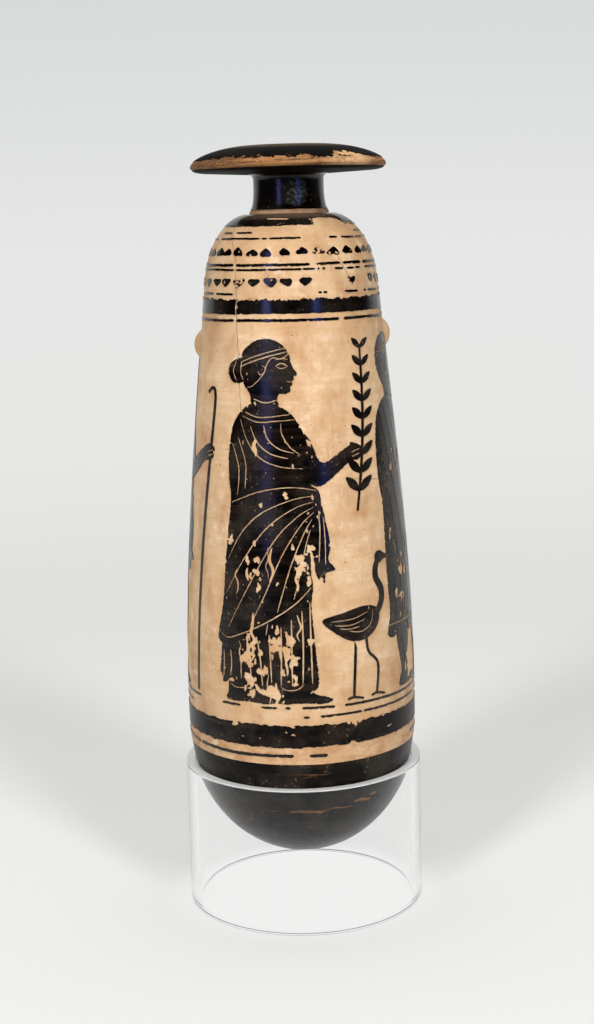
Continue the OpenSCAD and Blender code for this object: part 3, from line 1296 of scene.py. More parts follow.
@dataclass
class RingStand:
    """The short length of clear tube that carries the flask."""

    wall: float = 2.5
    edge_round: float = 0.35
    flat_from: float = 0.25
    # Tints of the lower edges: the dark outer one is painted shade.
    dark_edge_tint: Colour = (0.36, 0.4, 0.47)
    dark_edge_shade: Colour = (0.28, 0.32, 0.4)
    inner_edge_tint: Colour = (0.74, 0.75, 0.76)
    sawn_slope: float = 0.55
    corner_slope: Flat = (-0.95, -0.2)

    def build(self) -> None:
        """Turns the tube with softened edges and dresses it."""
        low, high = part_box("display_ring")
        outer, inner = high.x / MM, high.x / MM - self.wall
        foot, head, e = low.z / MM, high.z / MM, self.edge_round
        flat = e + self.flat_from
        outline = (
            arc((inner + e, foot + e), (e, e), 180, 270, 4) + [(inner + flat, foot), (outer - flat, foot)]
            + arc((outer - e, foot + e), (e, e), 270, 360, 4) + [(outer, foot + flat), (outer, head - flat)]
            + arc((outer - e, head - e), (e, e), 0, 90, 4) + [(outer - flat, head), (inner + flat, head)]
            + arc((inner + e, head - e), (e, e), 90, 180, 4) + [(inner, head - flat), (inner, foot + flat)]
        )
        ring = turn_on_wheel("clear_ring", [*outline, outline[0]], steps=192)
        # The dark blue-grey tint on the lower outer edge is a painted shade line; the lower inner edge is
        # tinted grey.
        for finish in (
            AcrylicFinish(),
            SawnEdgeFinish(),
            AcrylicFinish("acrylic_dark_edge", self.dark_edge_tint, self.dark_edge_shade),
            AcrylicFinish("acrylic_inner_edge", self.inner_edge_tint, self.inner_edge_tint),
        ):
            ring.data.materials.append(finish.material())
        for face in ring.data.polygons:
            outwards = face.normal.x * face.center.x + face.normal.y * face.center.y > 0
            if face.normal.z > self.sawn_slope:
                face.material_index = RingFace.SAWN
            elif self.corner_slope[0] < face.normal.z < self.corner_slope[1]:
                face.material_index = RingFace.CORNER if outwards else RingFace.SEAM
        hand_over(ring, Body.STAND, ring.data.materials[RingFace.WALL], ["display_ring"])


@dataclass
class ThrownFlask:
    """The clay of the flask: the hollow body, the neck, the mouth disc and the two lugs."""

    form: FlaskForm
    lug_r: float = 4.5
    lug_w: float = 5.0
    lug_root: float = 0.1
    bead: Flat = (0.5, 0.6)
    bead_inset: float = 0.1

    def build(self, clay: Material, rubbed: Material, slip: Material) -> None:
        """Throws and dresses the pieces.

        Args:
            clay: Finish of bare clay.
            rubbed: Finish of paler clay, which the collar shows.
            slip: Finish of white ground, which the lugs carry.
        """
        form = self.form
        inner = form.inside()
        body = turn_on_wheel("thrown_body", form.outside() + [(form.bore_r, form.collar_z)] + inner[::-1])
        hand_over(body, Body.FLASK, clay, ["base_bowl", "body_wall", "shoulder"])
        foot = form.collar_z
        collar = [(form.bore_r, foot), (form.collar_r - self.bead_inset, foot)]
        collar += arc((form.collar_r - self.bead[0], foot + self.bead[1]), self.bead, -60, 90, 6)
        neck_line = collar + form.neck_side() + [(form.bore_r, form.mouth_z), (form.bore_r, foot)]
        neck = turn_on_wheel("neck_tube", neck_line, steps=96)
        hand_over(neck, Body.FLASK, rubbed, ["neck"])
        bore = (form.bore_r, form.mouth_z)
        mouth = turn_on_wheel("mouth_plate", [bore, *form.under(), *form.dome()[1:], bore])
        hand_over(mouth, Body.FLASK, clay, ["mouth_disc"])
        for node, side in (("left_lug", -1), ("right_lug", 1)):
            lug = self._lug(node, side)
            hand_over(lug, Body.FLASK, slip, [node])

    def _lug(self, node: str, side: int) -> Piece:
        """Presses a lens-shaped lug on the wall.

        Args:
            node: CAD node that it stands for.
            side: Side of the flask, -1 for left.

        Returns:
            The mesh object.
        """
        low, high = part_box(node)
        tip = max(abs(low.x), abs(high.x))
        root = min(abs(low.x), abs(high.x))
        mid = ((tip - self.lug_r * MM) * side, 0, (low.z + high.z) / 2)
        clear_selection()
        bpy.ops.mesh.primitive_uv_sphere_add(segments=40, ring_count=24, radius=self.lug_r * MM, location=mid)
        lug = bpy.context.object
        lug.name = f"pressed_{node}"
        bpy.ops.object.transform_apply(location=True, rotation=True, scale=True)
        bpy.ops.object.mode_set(mode="EDIT")
        bpy.ops.mesh.select_all(action="SELECT")
        bpy.ops.transform.resize(value=(1, self.lug_w / 2 / self.lug_r, 1), center_override=mid)
        cut = ((root - self.lug_root * MM) * side, 0, mid[2])
        bpy.ops.mesh.bisect(plane_co=cut, plane_no=(side, 0, 0), use_fill=True, clear_inner=True)
        bpy.ops.object.mode_set(mode="OBJECT")
        close_up(lug)
        return lug


@dataclass
class WhiteGround:
    """The coat of slip over the wall and the shoulder."""

    form: FlaskForm
    profile: Profile
    low_z: float = 43.03
    top_gap: float = 0.05
    step: float = 1.2

    def build(self, slip: Material) -> None:
        """Turns the coat and dresses it.

        Args:
            slip: Finish of white ground.
        """
        first, last = self.profile.run_at(self.low_z), self.profile.length - self.top_gap
        outline = self.profile.coat(first, last, self.form.ground_lift, self.step)
        coat = turn_on_wheel("white_ground_coat", outline, steps=192)
        hand_over(coat, Body.FLASK, slip, ["white_ground"])


class Edge(Enum):
    """How a band's edge has come down to us; the value is the amount of wear."""

    FIRM = 0
    CHIPPED = 1
    BITTEN = 2


# Height, width and spans in degrees of each painted line, by the node that it belongs to.
PAINTED_LINES: dict[str, tuple[tuple[float, float, tuple[Flat, ...]], ...]] = {
    "foot_line": (
        (45.2, 0.75, ((-170, -62), (-61, -4.5), (3, 11.9), (70, 100), (108, 172))),
    ),
    "ground_lines": (
        (57.2, 0.6, (
            (-176, -60), (-42, -31), (-20, -12), (-8, -5.5), (0, 16), (21, 74), (76, 140), (146, 178),
        )),
        (55.0, 0.55, ((-170, -70), (0.6, 3.5), (8.8, 30), (31, 75), (80, 176))),
    ),
    "band_lines": (
        (155.3, 0.5, (
            (-150, -95), (-80, -60), (-56.5, -39.7), (17, 19.5), (20.5, 23.1), (35.8, 47.2), (53.5, 56),
            (58.5, 73), (80, 150),
        )),
        (149.1, 0.65, ((-178, -38.6), (-36.3, 30.2), (33.5, 178))),
    ),
    "middle_lines": (
        (161.95, 0.65, ((-178, -41), (-38.8, 12.6), (16.8, 34.5), (36.6, 53.8), (56.8, 178))),
        (160.85, 0.5, (
            (-178, -40), (-38.2, -15.7), (-15.1, 7), (7.6, 16), (17.7, 18.8), (20.8, 22.9), (29.6, 36.4),
            (39.3, 45.8), (47.3, 52.1), (58.2, 178),
        )),
    ),
    "shoulder_lines": (
        (169.3, 0.5, ((-170, -100), (-66, -52.5), (-47, -31), (63, 80), (100, 160))),
        (167.9, 0.5, (
            (-170, -72), (-64, -22.7), (-21.4, -17.1), (-15.5, 8.2), (30.5, 37.8), (42, 56.4), (58.6, 72),
            (90, 172),
        )),
    ),
}

# Azimuths of the whole berries in degrees.
UPPER_BERRIES = (
    -176, -164, -153, -141, -129, -118, -106, -95, -83, -70, -58, -49, -39, -27, -17, -4, 8, 43.3, 55, 65, 76,
    88, 100, 111, 123, 134, 146, 158, 170,
)
LOWER_BERRIES = (
    -171, -159, -148, -136, -124, -113, -101, -90, -79, -68, -56, -46.5, -24.5, -13.2, -2.8, 9.3, 63.9, 74,
    86, 98, 109, 121, 132, 156, 168,
)
BERRY = (
    (0, 1), (0.42, 0.66), (0.84, 0.1), (1, -0.45), (0.74, -0.9), (0.1, -0.86), (-0.6, -0.94), (-0.98, -0.45),
    (-0.84, 0.1), (-0.38, 0.7),
)

# Azimuth in degrees, height, half width and half height of each chip; the mouth's have runs for heights.
LOWER_CHIPS: tuple[Chip, ...] = (
    (-34.3, 52.6, 1.0, 1.1), (23, 53.0, 0.9, 0.8), (26, 52.5, 0.8, 1.2), (29, 52.9, 0.8, 0.7),
    (24.4, 47.3, 0.9, 0.8), (20, 47.0, 0.8, 0.4), (47.9, 49.6, 1.1, 0.35), (-21, 49.5, 0.3, 0.25),
    (-4.5, 50.6, 0.5, 0.4), (-8, 51.2, 0.35, 0.3),
)
BROAD_CHIPS: tuple[Chip, ...] = (
    (-14, 154.1, 0.6, 0.45), (-5, 154.2, 0.5, 0.4), (-24, 154.0, 0.6, 0.4), (4, 154.2, 0.7, 0.4),
    (62, 152.0, 0.15, 0.7), (-33, 150.6, 0.4, 0.3),
)
MOUTH_CHIPS: tuple[Chip, ...] = (
    (30, 2.2, 1.6, 1.3), (34, 3.0, 1.9, 1.5), (39, 3.1, 2.0, 1.5), (44, 2.6, 1.8, 1.4), (49, 2.0, 1.6, 1.1),
    (10, 1.9, 2.4, 0.8), (-4, 1.8, 2.2, 0.7), (-30, 1.7, 2.0, 0.6), (150, 2.4, 2.4, 1.2),
    (-120, 2.0, 2.0, 0.9),
)

# First and last azimuth in degrees, height and width of each gouge.
GOUGES = (
    (-9, 12.5, 30.3, 1.0), (11, 28, 30.7, 0.6), (26.5, 38, 31.9, 1.1), (36, 41.5, 33.0, 0.9),
    (-26, -12, 30.5, 0.3), (-9, 24, 27.6, 0.18), (-8, 15, 40.3, 0.3), (-4, 9, 39.6, 0.22),
    (-40, -33, 27.0, 0.35), (-170, -140, 31, 0.4),
)


@dataclass
class GlossBands:
    """The coats of black gloss: base, bands, lines, berries, shoulder, neck and mouth."""

    form: FlaskForm
    profile: Profile
    berry: Flat = (1.6, 1.05)
    shoulder_z: float = 170.75
    rubbed_z: float = 172.3
    dash: tuple[Flat, ...] = ((-22.5, 172.35), (-12, 172.3), (-1, 172.2))
    rim_run: float = 1.75
    lip_gap: float = 1.2
    base_z: float = 42.9
    coat_step: float = 0.6

    def build(self, gloss: Material, worn: Material, pitted: Material, matt: Material,
              hazy: Material) -> None:
        """Paints and dresses every coat.

        Args:
            gloss: Finish of sound gloss.
            worn: Finish of rubbed gloss, for the base and the lower band.
            pitted: Finish of pitted gloss, for the neck.
            matt: Finish of gloss that has lost its shine, for the mouth.
            hazy: Finish of gloss with a paler band along the collar, partly rubbed thin and partly painted
                sheen, for the shoulder.
        """
        over, bare = self.form.over_lift, self.form.bare_lift
        lower = self._band((52.8, 47.4), 11, (Edge.CHIPPED, Edge.CHIPPED), LOWER_CHIPS)
        broad = self._band((154.0, 150.6), 23, (Edge.BITTEN, Edge.FIRM), BROAD_CHIPS, (-37,))
        for name, sheet, lift, finish in (
            ("lower_band", lower, over, worn),
            ("broad_band", broad, over, gloss),
            *((name, self._lines(lines), over, gloss) for name, lines in PAINTED_LINES.items()),
            ("upper_berries", self._berries(164.9, UPPER_BERRIES, (19.4, 31), 1), over, gloss),
            ("lower_berries", self._berries(158.0, LOWER_BERRIES, (-35.8, 42.3), -1), over, gloss),
            ("shoulder_gloss", self._shoulder(), over, hazy),
            ("mouth_top_gloss", self._mouth_top(), bare, matt),
            ("base_gloss", self._base(), bare, worn),
        ):
            coat = sheet.build(f"painted_{name}", lift)
            hand_over(coat, Body.FLASK, finish, [name])
        self._turned("neck_gloss", self.form.neck_side()[1:], pitted)
        self._turned("mouth_under_gloss", self.form.under()[:-4], matt)

    def _turned(self, node: str, line: Sequence[Flat], finish: Material) -> None:
        """Coats part of the neck or the mouth on the wheel.

        Args:
            node: CAD node that the coat stands for.
            line: Radius and height of the points under the coat.
            finish: Finish of the coat.
        """
        side = Profile(line)
        outline = side.coat(0, side.length, self.form.bare_lift, self.coat_step)
        coat = turn_on_wheel(f"coated_{node}", outline, steps=128)
        hand_over(coat, Body.FLASK, finish, [node])

    def _belt(self, height: float) -> tuple[Unrolled, float]:
        """Unrolls the wall at a height.

        Args:
            height: Height over the table.

        Returns:
            The layout, and the run at that height.
        """
        run = self.profile.run_at(height)
        return Unrolled(self.profile.at(run)[0]), run

    def _band(self, heights: Flat, seed: int, states: tuple[Edge, Edge], chips: Sequence[Chip],
              cracks: Sequence[float] = ()) -> PaintSheet:
        """Paints a band right round the wall.

        Args:
            heights: Heights of its upper and lower edge.
            seed: Seed of its wobble and chips.
            states: States of its upper and lower edge.
            chips: Chips at the front.
            cracks: Azimuths in degrees where a crack has lifted the paint.

        Returns:
            The paintwork.
        """
        upper, lower = states
        layout, top = self._belt(heights[0])
        bottom = self.profile.run_at(heights[1])
        sheet = PaintSheet(self.profile, layout)
        half = layout.half
        rng = random.Random(seed)
        edges = []
        for run, state, turn in ((bottom, lower, seed), (top, upper, seed + 5)):
            soft = Wobble(0.12, SOFT_WAVES, turn)
            sharp = Wobble(0.07 * (1 + state.value), SHARP_WAVES, turn)
            tooth = 0.05 + 0.09 * state.value
            edge = []
            for x in layout.spread(420):
                a = x / layout.radius
                edge.append((x, run + soft.at(a) + sharp.at(a) + rng.uniform(-tooth, tooth)))
            edges.append(edge)
        sheet.paint(edges[0] + edges[1][::-1])
        for run, state in ((top, upper), (bottom, lower)):
            for _ in range(14 * state.value):
                x = rng.uniform(-half, half) * OFF_SEAM
                size = rng.uniform(0.2, 0.6)
                sheet.bare(flake(rng, x, run, size * rng.uniform(0.8, 2.2), size * 0.8))
        for _ in range(10 * lower.value):
            x = rng.uniform(-half, half) * OFF_SEAM
            size = rng.uniform(0.1, 0.3)
            sheet.bare(flake(rng, x, rng.uniform(bottom, top), size * 1.5, size))
        for azimuth, height, wide, tall in chips:
            x, y = layout.across(azimuth), self.profile.run_at(height)
            sheet.bare(flake(rng, x, y, wide, tall))
            sheet.bare(flake(rng, x + rng.uniform(-0.5, 0.5) * wide, y + 0.4 * tall, wide * 0.7, tall * 0.6))
        for crack in cracks:
            x = layout.across(crack)
            runs = [bottom - 0.5 + (top - bottom + 1) * i / 6 for i in range(7)]
            line = [(x + rng.uniform(-0.15, 0.15), run) for run in runs]
            sheet.bare(stroke(line, 0.35, 0.5, 0.8))
            for _ in range(4):
                sheet.bare(flake(rng, x + rng.uniform(-0.2, 0.3), rng.uniform(bottom, top), 0.3, 0.5))
        return sheet

    def _lines(self, lines: Sequence[tuple[float, float, Sequence[Flat]]]) -> PaintSheet:
        """Paints thin lines in the ragged dashes that wear has left.

        Args:
            lines: Height, width and spans in degrees of each line.

        Returns:
            The paintwork.
        """
        layout, _ = self._belt(lines[0][0])
        sheet = PaintSheet(self.profile, layout)
        for height, width, spans in lines:
            run = self.profile.run_at(height)
            drift = Wobble(0.1, SOFT_WAVES, round(height))
            rng = random.Random(round(height * 10))
            for first, last in spans:
                a0, a1 = math.radians(first), math.radians(last)
                count = max(4, round((a1 - a0) * layout.radius / 0.4))
                low, high = [], []
                for i in range(count + 1):
                    a = a0 + (a1 - a0) * i / count
                    half = width / 2 * min(1.0, (min(i, count - i) + 0.6) / 1.6)
                    nick = 0.35 if rng.random() < 0.06 else 1.0
                    middle = run + drift.at(a)
                    low.append((a * layout.radius, middle - half * nick * rng.uniform(0.75, 1.2)))
                    high.append((a * layout.radius, middle + half * rng.uniform(0.75, 1.2)))
                sheet.paint(low + high[::-1])
        return sheet

    def _berries(self, height: float, sound: Sequence[float], worn: Sequence[float], way: int) -> PaintSheet:
        """Paints a row of heart-shaped berries.

        Args:
            height: Height of the row.
            sound: Azimuth of each whole berry in degrees.
            worn: Azimuth of each berry that is mostly rubbed off.
            way: 1 with the tips up, -1 with the tips down.

        Returns:
            The paintwork.
        """
        layout, run = self._belt(height)
        sheet = PaintSheet(self.profile, layout)
        rng = random.Random(round(height))
        for place in (*sound, *worn):
            wide = self.berry[0] * rng.uniform(0.8, 1.08)
            high = self.berry[1] * rng.uniform(0.82, 1.12)
            x = layout.across(place)
            y = run + rng.uniform(-0.2, 0.2)
            lean = rng.uniform(-0.25, 0.25)
            outline = []
            for u, v in BERRY:
                outline.append((x + wide * (u + lean * v) * rng.uniform(0.88, 1.08), y + way * high * v))
            sheet.paint(rounded(outline, 0.3))
            if rng.random() < 0.6:
                size = rng.uniform(0.12, 0.4)
                spot = (x + rng.uniform(-0.8, 0.8) * wide, y + rng.uniform(-0.8, 0.8) * high)
                sheet.bare(flake(rng, *spot, size * 1.4, size))
            for _ in range(6 if place in worn else 0):
                size = rng.uniform(0.25, 0.55)
                spot = (x + rng.uniform(-1, 1) * wide, y + rng.uniform(-0.9, 0.9) * high)
                sheet.bare(flake(rng, *spot, size * rng.uniform(1, 1.8), size))
        return sheet

    def _shoulder(self) -> PaintSheet:
        """Paints the ring of gloss round the collar, whose lower part is rubbed off right of the front.

        Returns:
            The paintwork.
        """
        layout, low = self._belt(self.shoulder_z)
        sheet = PaintSheet(self.profile, layout, grain=1.2)
        high = self.profile.length - 0.4
        half = layout.half
        edge = Wobble(0.14, RIM_WAVES, 4)
        rng = random.Random(8)
        lower = []
        for x in layout.spread(300):
            lower.append((x, low + edge.at(x / layout.radius) + rng.uniform(-0.08, 0.08)))
        sheet.paint(lower + [(half, high), (0, high), (-half, high)])
        rubbed = self.profile.run_at(self.rubbed_z)
        top = []
        for azimuth, run in (
            (21, low), (22, rubbed - 0.5), (24, rubbed), (30, rubbed + 0.2), (38, rubbed), (46, rubbed + 0.1),
            (52, rubbed - 0.4), (57, low + 0.3), (58, low),
        ):
            top.append((layout.across(azimuth) + rng.uniform(-0.2, 0.2), run + rng.uniform(-0.1, 0.1)))
        sheet.bare([(top[0][0], low - 1), *top, (top[-1][0], low - 1)][::-1])
        dash = [(layout.across(a), self.profile.run_at(z)) for a, z in self.dash]
        sheet.bare(stroke(dash, 0.75, 0.6, 0.7))
        for step in range(6):
            size = rng.uniform(0.2, 0.45)
            sheet.bare(flake(rng, top[0][0] - rng.uniform(0, 0.3), low + 0.4 * step, size, size))
        for azimuth in (61, 64, 68, 73):
            size = rng.uniform(0.3, 0.6)
            sheet.bare(flake(rng, layout.across(azimuth), low + rng.uniform(0, 0.9), size * 1.6, size))
        for _ in range(26):
            x = rng.uniform(-half, half) * OFF_SEAM
            size = rng.uniform(0.12, 0.4)
            sheet.bare(flake(rng, x, low + rng.uniform(0, 0.4), size * 1.8, size))
        return sheet

    def _mouth_top(self) -> PaintSheet:
        """Paints the mouth's top, worn ragged along the rim.

        Returns:
            The paintwork.
        """
        profile = Profile(self.form.dome())
        reach = profile.length + self.form.bore_r
        sheet = PaintSheet(profile, FromAbove(reach), grain=1.5)
        rng = random.Random(31)
        rim = Wobble(0.35, RIM_WAVES, 6)
        outline = []
        for a in turns(420):
            run = self.rim_run + rim.at(a) + rng.uniform(-0.3, 0.3)
            outline.append(polar(reach - run, a, -1))
        sheet.paint(outline)
        hole = self.form.bore_r + self.lip_gap
        sheet.bare([(hole * math.cos(a), hole * math.sin(a)) for a in turns(64)])
        for azimuth, run, wide, tall in MOUTH_CHIPS:
            sheet.bare(flake(rng, *polar(reach - run, math.radians(azimuth), -1), wide, tall))
        for _ in range(150):
            a = rng.uniform(0, math.tau)
            r = reach - rng.uniform(1.2, 2.8)
            size = rng.uniform(0.12, 0.5)
            sheet.bare(flake(rng, *polar(r, a, -1), size * 1.3, size))
        return sheet

    def _base(self) -> PaintSheet:
        """Paints the round base up to its edge, with a few gouges that show the clay.

        Returns:
            The paintwork.
        """
        sheet = PaintSheet(self.profile, FromBelow())
        edge = self.profile.run_at(self.base_z)
        wave = Wobble(0.14, (2, 5, 9, 21), 3)
        sheet.paint([polar(edge + wave.at(a), a) for a in turns(240)])
        for start, stop, height, width in GOUGES:
            run = self.profile.run_at(height)
            shift = Wobble(0.25, (23, 41), round(height * 7))
            sweep = [math.radians(start + (stop - start) * i / 6) for i in range(7)]
            sheet.bare(stroke([polar(run + shift.at(a), a) for a in sweep], width, 0.5, 0.2))
        rng = random.Random(77)
        for _ in range(34):
            a = rng.uniform(0, math.tau)
            run = rng.uniform(0.2, 0.98) * edge
            size = rng.uniform(0.1, 0.32)
            sheet.bare(flake(rng, *polar(run, a), size, size))
        return sheet


# Widths of the cut lines.
HAIR = 0.22
THIN = 0.24
SLIM = 0.26
FINE = 0.27
LIGHT = 0.28
PLAIN = 0.3
FOLD = 0.38

WOMAN_HEAD = (
    (-3, 69), (-3.9, 71.6), (-5.6, 74.2), (-6.5, 77.6), (-5.6, 81.2), (-2.8, 83.6), (0.6, 84.1), (3.6, 82.8),
    (5.2, 80.4), (5.6, 78.7), (6.3, 77.2), (7.1, 76), (6.2, 75.4), (6.35, 74.8), (5.85, 74.45), (6.1, 73.8),
    (5.5, 73.3), (5.6, 72.5), (4.6, 71.6), (3.1, 71.7), (2.5, 70.4), (2.7, 68.4),
)
BUN = ((-5.4, 79.4), (-7.2, 79.6), (-9.2, 78.2), (-9.6, 76), (-8.2, 74.2), (-6, 74.2), (-4.6, 75.6))
WOMAN_MANTLE = (
    (-2.6, 69.6), (-5.8, 68), (-8.2, 64.6), (-9.4, 59.5), (-9.6, 53.5), (-9, 47.5), (-9.8, 40.5),
    (-10.8, 31.5), (-11.6, 22.5), (-13.2, 14.8), (-10.6, 13.4), (-6.6, 14.6), (-2, 16.6), (3, 19.4),
    (7.4, 22.6), (10.4, 25.8), (10.2, 31), (10, 36.5), (10.8, 41.5), (12.4, 45.6), (12, 49.2), (9.8, 51.2),
    (8.6, 54.6), (9.2, 58.6), (8.4, 62.6), (6.4, 66.2), (3.4, 68.6),
)
SKIRT = (
    (-10.8, 24), (-12, 14), (-12.8, 5.6), (-11.2, 4.2), (-9.8, 5.4), (-8.2, 3.6), (-6.6, 5), (-4.8, 3.2),
    (-3.2, 4.8), (-1.2, 3), (0.6, 4.6), (2.6, 3), (4.2, 4.6), (6.2, 3), (7.6, 4.6), (9.6, 3.2), (11.6, 4.6),
    (11, 13), (10.2, 22), (9.6, 30), (0, 30),
)
FRONT_FOOT = (
    (3, 5.2), (2.4, 2.2), (1.8, 0.6), (3.2, 0.1), (8, 0.3), (12, 0), (14.4, 0.3), (14.8, 1), (13, 1.7),
    (10.4, 2.7), (8.4, 5.2),
)
BACK_FOOT = tuple((x - 12.8, y) for x, y in FRONT_FOOT)
ARM = (
    (7.4, 57.6), (8.6, 52.6), (11.6, 50.4), (14.6, 51.8), (17.6, 54.2), (19.6, 55.6), (21.6, 55.8),
    (22.8, 56.8), (22.2, 57.6), (23, 58.4), (22, 59.2), (20.4, 59.6), (18.6, 58.8), (16.2, 57.4),
    (13.4, 55.8), (11.8, 56.6), (10.4, 60), (8.6, 62.4),
)
CLOTH_END = (
    (12.2, 46.4), (13.6, 42), (14.6, 37), (14.2, 33.4), (15.8, 31.2), (13.6, 30.4), (13.2, 28.2), (11.4, 30),
    (10.8, 34), (9.6, 38), (9.4, 44),
)
MAN_HEAD = (
    (-3, 69), (-3.7, 71.4), (-5.2, 73.6), (-6.4, 76.8), (-6, 80.4), (-3.6, 83.2), (0, 84.1), (3.2, 83),
    (5.1, 80.6), (5.6, 78.7), (6.3, 77.2), (7.1, 76), (6.3, 75.5), (6.9, 74.2), (7.6, 71.6), (7.4, 68.6),
    (5.8, 66), (4.2, 67.4), (3, 69.4), (2.7, 68.4),
)
MAN_MANTLE = (
    (-2.6, 69.6), (-6.4, 68), (-9, 64.6), (-10.4, 58.5), (-10.8, 51), (-10.2, 44), (-10.8, 36), (-11.2, 27),
    (-11, 19), (-12.4, 13.8), (-10.2, 12.6), (-8.6, 13.8), (-6, 12.6), (-4, 13.8), (-1, 12.8), (1.6, 14),
    (4.4, 13.2), (6.6, 14.6), (9.4, 14.2), (10.4, 16.6), (10, 24), (9.6, 32), (10, 39), (11.4, 44.6),
    (11.8, 49), (9.8, 51.4), (8.8, 55), (9.2, 59), (8.4, 62.8), (6.4, 66.4), (3.4, 68.6),
)
FRONT_LEG = (
    (1.4, 15.4), (1.6, 11.6), (2.6, 7.4), (3.2, 4.2), (2.2, 2), (1.9, 0.6), (3.2, 0.1), (8, 0.3), (11.6, 0),
    (13.8, 0.3), (14, 1), (12, 1.8), (9, 2.6), (6.9, 4.4), (6.9, 8), (7.9, 11.6), (8, 15.4),
)
BACK_LEG = tuple((x - 10.4, y) for x, y in FRONT_LEG)
STAFF = ((20.6, 0.3), (20.9, 20), (21.2, 40), (21.4, 60), (21.2, 70.6), (19.8, 72.6), (18.2, 71.4))
WOMAN_SHAPES = (WOMAN_HEAD, BUN, WOMAN_MANTLE, SKIRT, FRONT_FOOT, BACK_FOOT)
MAN_SHAPES = (MAN_HEAD, MAN_MANTLE, FRONT_LEG, BACK_LEG)

HAND_CUTS: tuple[Line, ...] = (
    (((20.2, 56.6), (21.4, 57), (22.4, 57.2)), LIGHT),
    (((20, 57.6), (21.2, 58), (22.4, 58.2)), LIGHT),
    (((11.9, 45), (12.2, 39.6), (12, 33)), FINE),
    (((13, 43.4), (13.4, 38), (13.5, 32.4)), FINE),
)
WOMAN_CUTS: tuple[Line, ...] = (
    (
        (
            (5, 80.6), (3.4, 79.6), (1.4, 79.8), (0.2, 78.4), (-0.4, 76.6), (-1.6, 75), (-3.4, 73.4),
            (-4.6, 73.2),
        ),
        FINE,
    ),
    (((4.4, 82), (0.8, 81.2), (-3.2, 80), (-6.2, 78.8)), FINE),
    (((4.9, 81.2), (1, 80.3), (-3, 79.1), (-6.3, 77.8)), PLAIN),
    (((-1.2, 78.2), (-0.2, 77.6), (-0.5, 76.4), (-1.4, 76), (-1.9, 76.9)), LIGHT),
    (((2.2, 77.9), (3.2, 78.6), (4.3, 78.3), (4.9, 77.8)), LIGHT),
    (((2.4, 77.75), (3.4, 77.4), (4.7, 77.7)), THIN),
    (((2.2, 79.35), (3.6, 79.7), (4.9, 79.4)), THIN),
    (((6, 74.45), (5.2, 74.4), (4.6, 74.6)), HAIR),
    (((-7.4, 79.2), (-8.3, 76.8), (-7.4, 74.6)), LIGHT),
    (((-6, 79), (-6.3, 76.6), (-5.6, 74.8)), LIGHT),
    (((-3.1, 70.6), (-0.2, 69.7), (2.5, 70.3)), PLAIN),
    (((-5.2, 67.6), (-2, 66.4), (2, 66.6), (5.4, 67)), FINE),
    (((-5.8, 66.6), (-2, 65.3), (2.2, 65.5), (6.4, 65.8)), FINE),
    (((-6.4, 66), (-4.6, 61), (-1.6, 57.2), (3, 55.2), (8.4, 54.6)), FINE),
    (((3.4, 65), (3.6, 62.6), (5.4, 59.6), (7.8, 57.8)), FINE),
    (((-3.8, 64.4), (-2.2, 60.8), (0.8, 58.2), (5, 57)), PLAIN),
    (((-0.6, 64.6), (0.4, 61.4), (3, 59.2), (6.4, 58.2)), PLAIN),
    (((11, 48.3), (6, 47.6), (-1, 44.6), (-6, 40), (-9.9, 33.5)), FINE),
    (((10.8, 47), (6.4, 45.6), (0.4, 41.4), (-5, 34.6), (-10.6, 25.4)), FINE),
    (((10.8, 45.8), (7, 43.6), (2, 38.4), (-3.4, 29.4), (-10, 17.6)), FINE),
    (((10.8, 44.6), (7.8, 41.6), (3.6, 34.8), (-0.6, 25.4), (-4.2, 18.4)), FINE),
    (((10.4, 43), (8.4, 39.4), (5.4, 31.8), (2.4, 21.6)), FINE),
    (((10, 40.6), (9, 37), (7.4, 29.4), (6.2, 24.6)), FINE),
    (((11.4, 49.6), (5.4, 50.4), (-1.6, 49.4), (-8.9, 46.6)), FINE),
    (((-8.6, 60.4), (-6.8, 54.6), (-7.2, 48.4)), PLAIN),
    (((-7, 61.8), (-5, 55.8), (-5.2, 50)), PLAIN),
    (((-13, 16.4), (-10.4, 15), (-6.6, 16.2), (-2.2, 18.2), (2.8, 21), (7.2, 24.2), (10.2, 27.4)), PLAIN),
    (((-11.6, 12), (-11.6, 8.6), (-11.9, 5.4)), FOLD),
    (((-9.6, 12.2), (-9.4, 9), (-9.8, 5.9)), FOLD),
    (((-7.2, 13), (-6.8, 9.6), (-6.8, 5.5)), FOLD),
    (((-5, 13.8), (-4.4, 9.6), (-4.2, 4.6)), FOLD),
    (((-2.4, 15), (-1.8, 10.2), (-1.4, 4.2)), FOLD),
    (((0.4, 16.4), (0.6, 11), (0.8, 5.1)), FOLD),
    (((3.2, 18.2), (3.2, 11.4), (3, 4.4)), FOLD),
    (((5.6, 20), (5.6, 12.4), (5.6, 4.4)), FOLD),
    (((8, 22), (8.2, 13.4), (8, 5)), FOLD),
    (((9.8, 24), (10, 14), (10.2, 4.8)), FOLD),
    (((8.3, 4.9), (6.8, 3.6), (4.4, 3.4), (2.9, 4.2)), LIGHT),
    (((-4.5, 4.9), (-6, 3.6), (-8.4, 3.4), (-9.9, 4.2)), LIGHT),
)
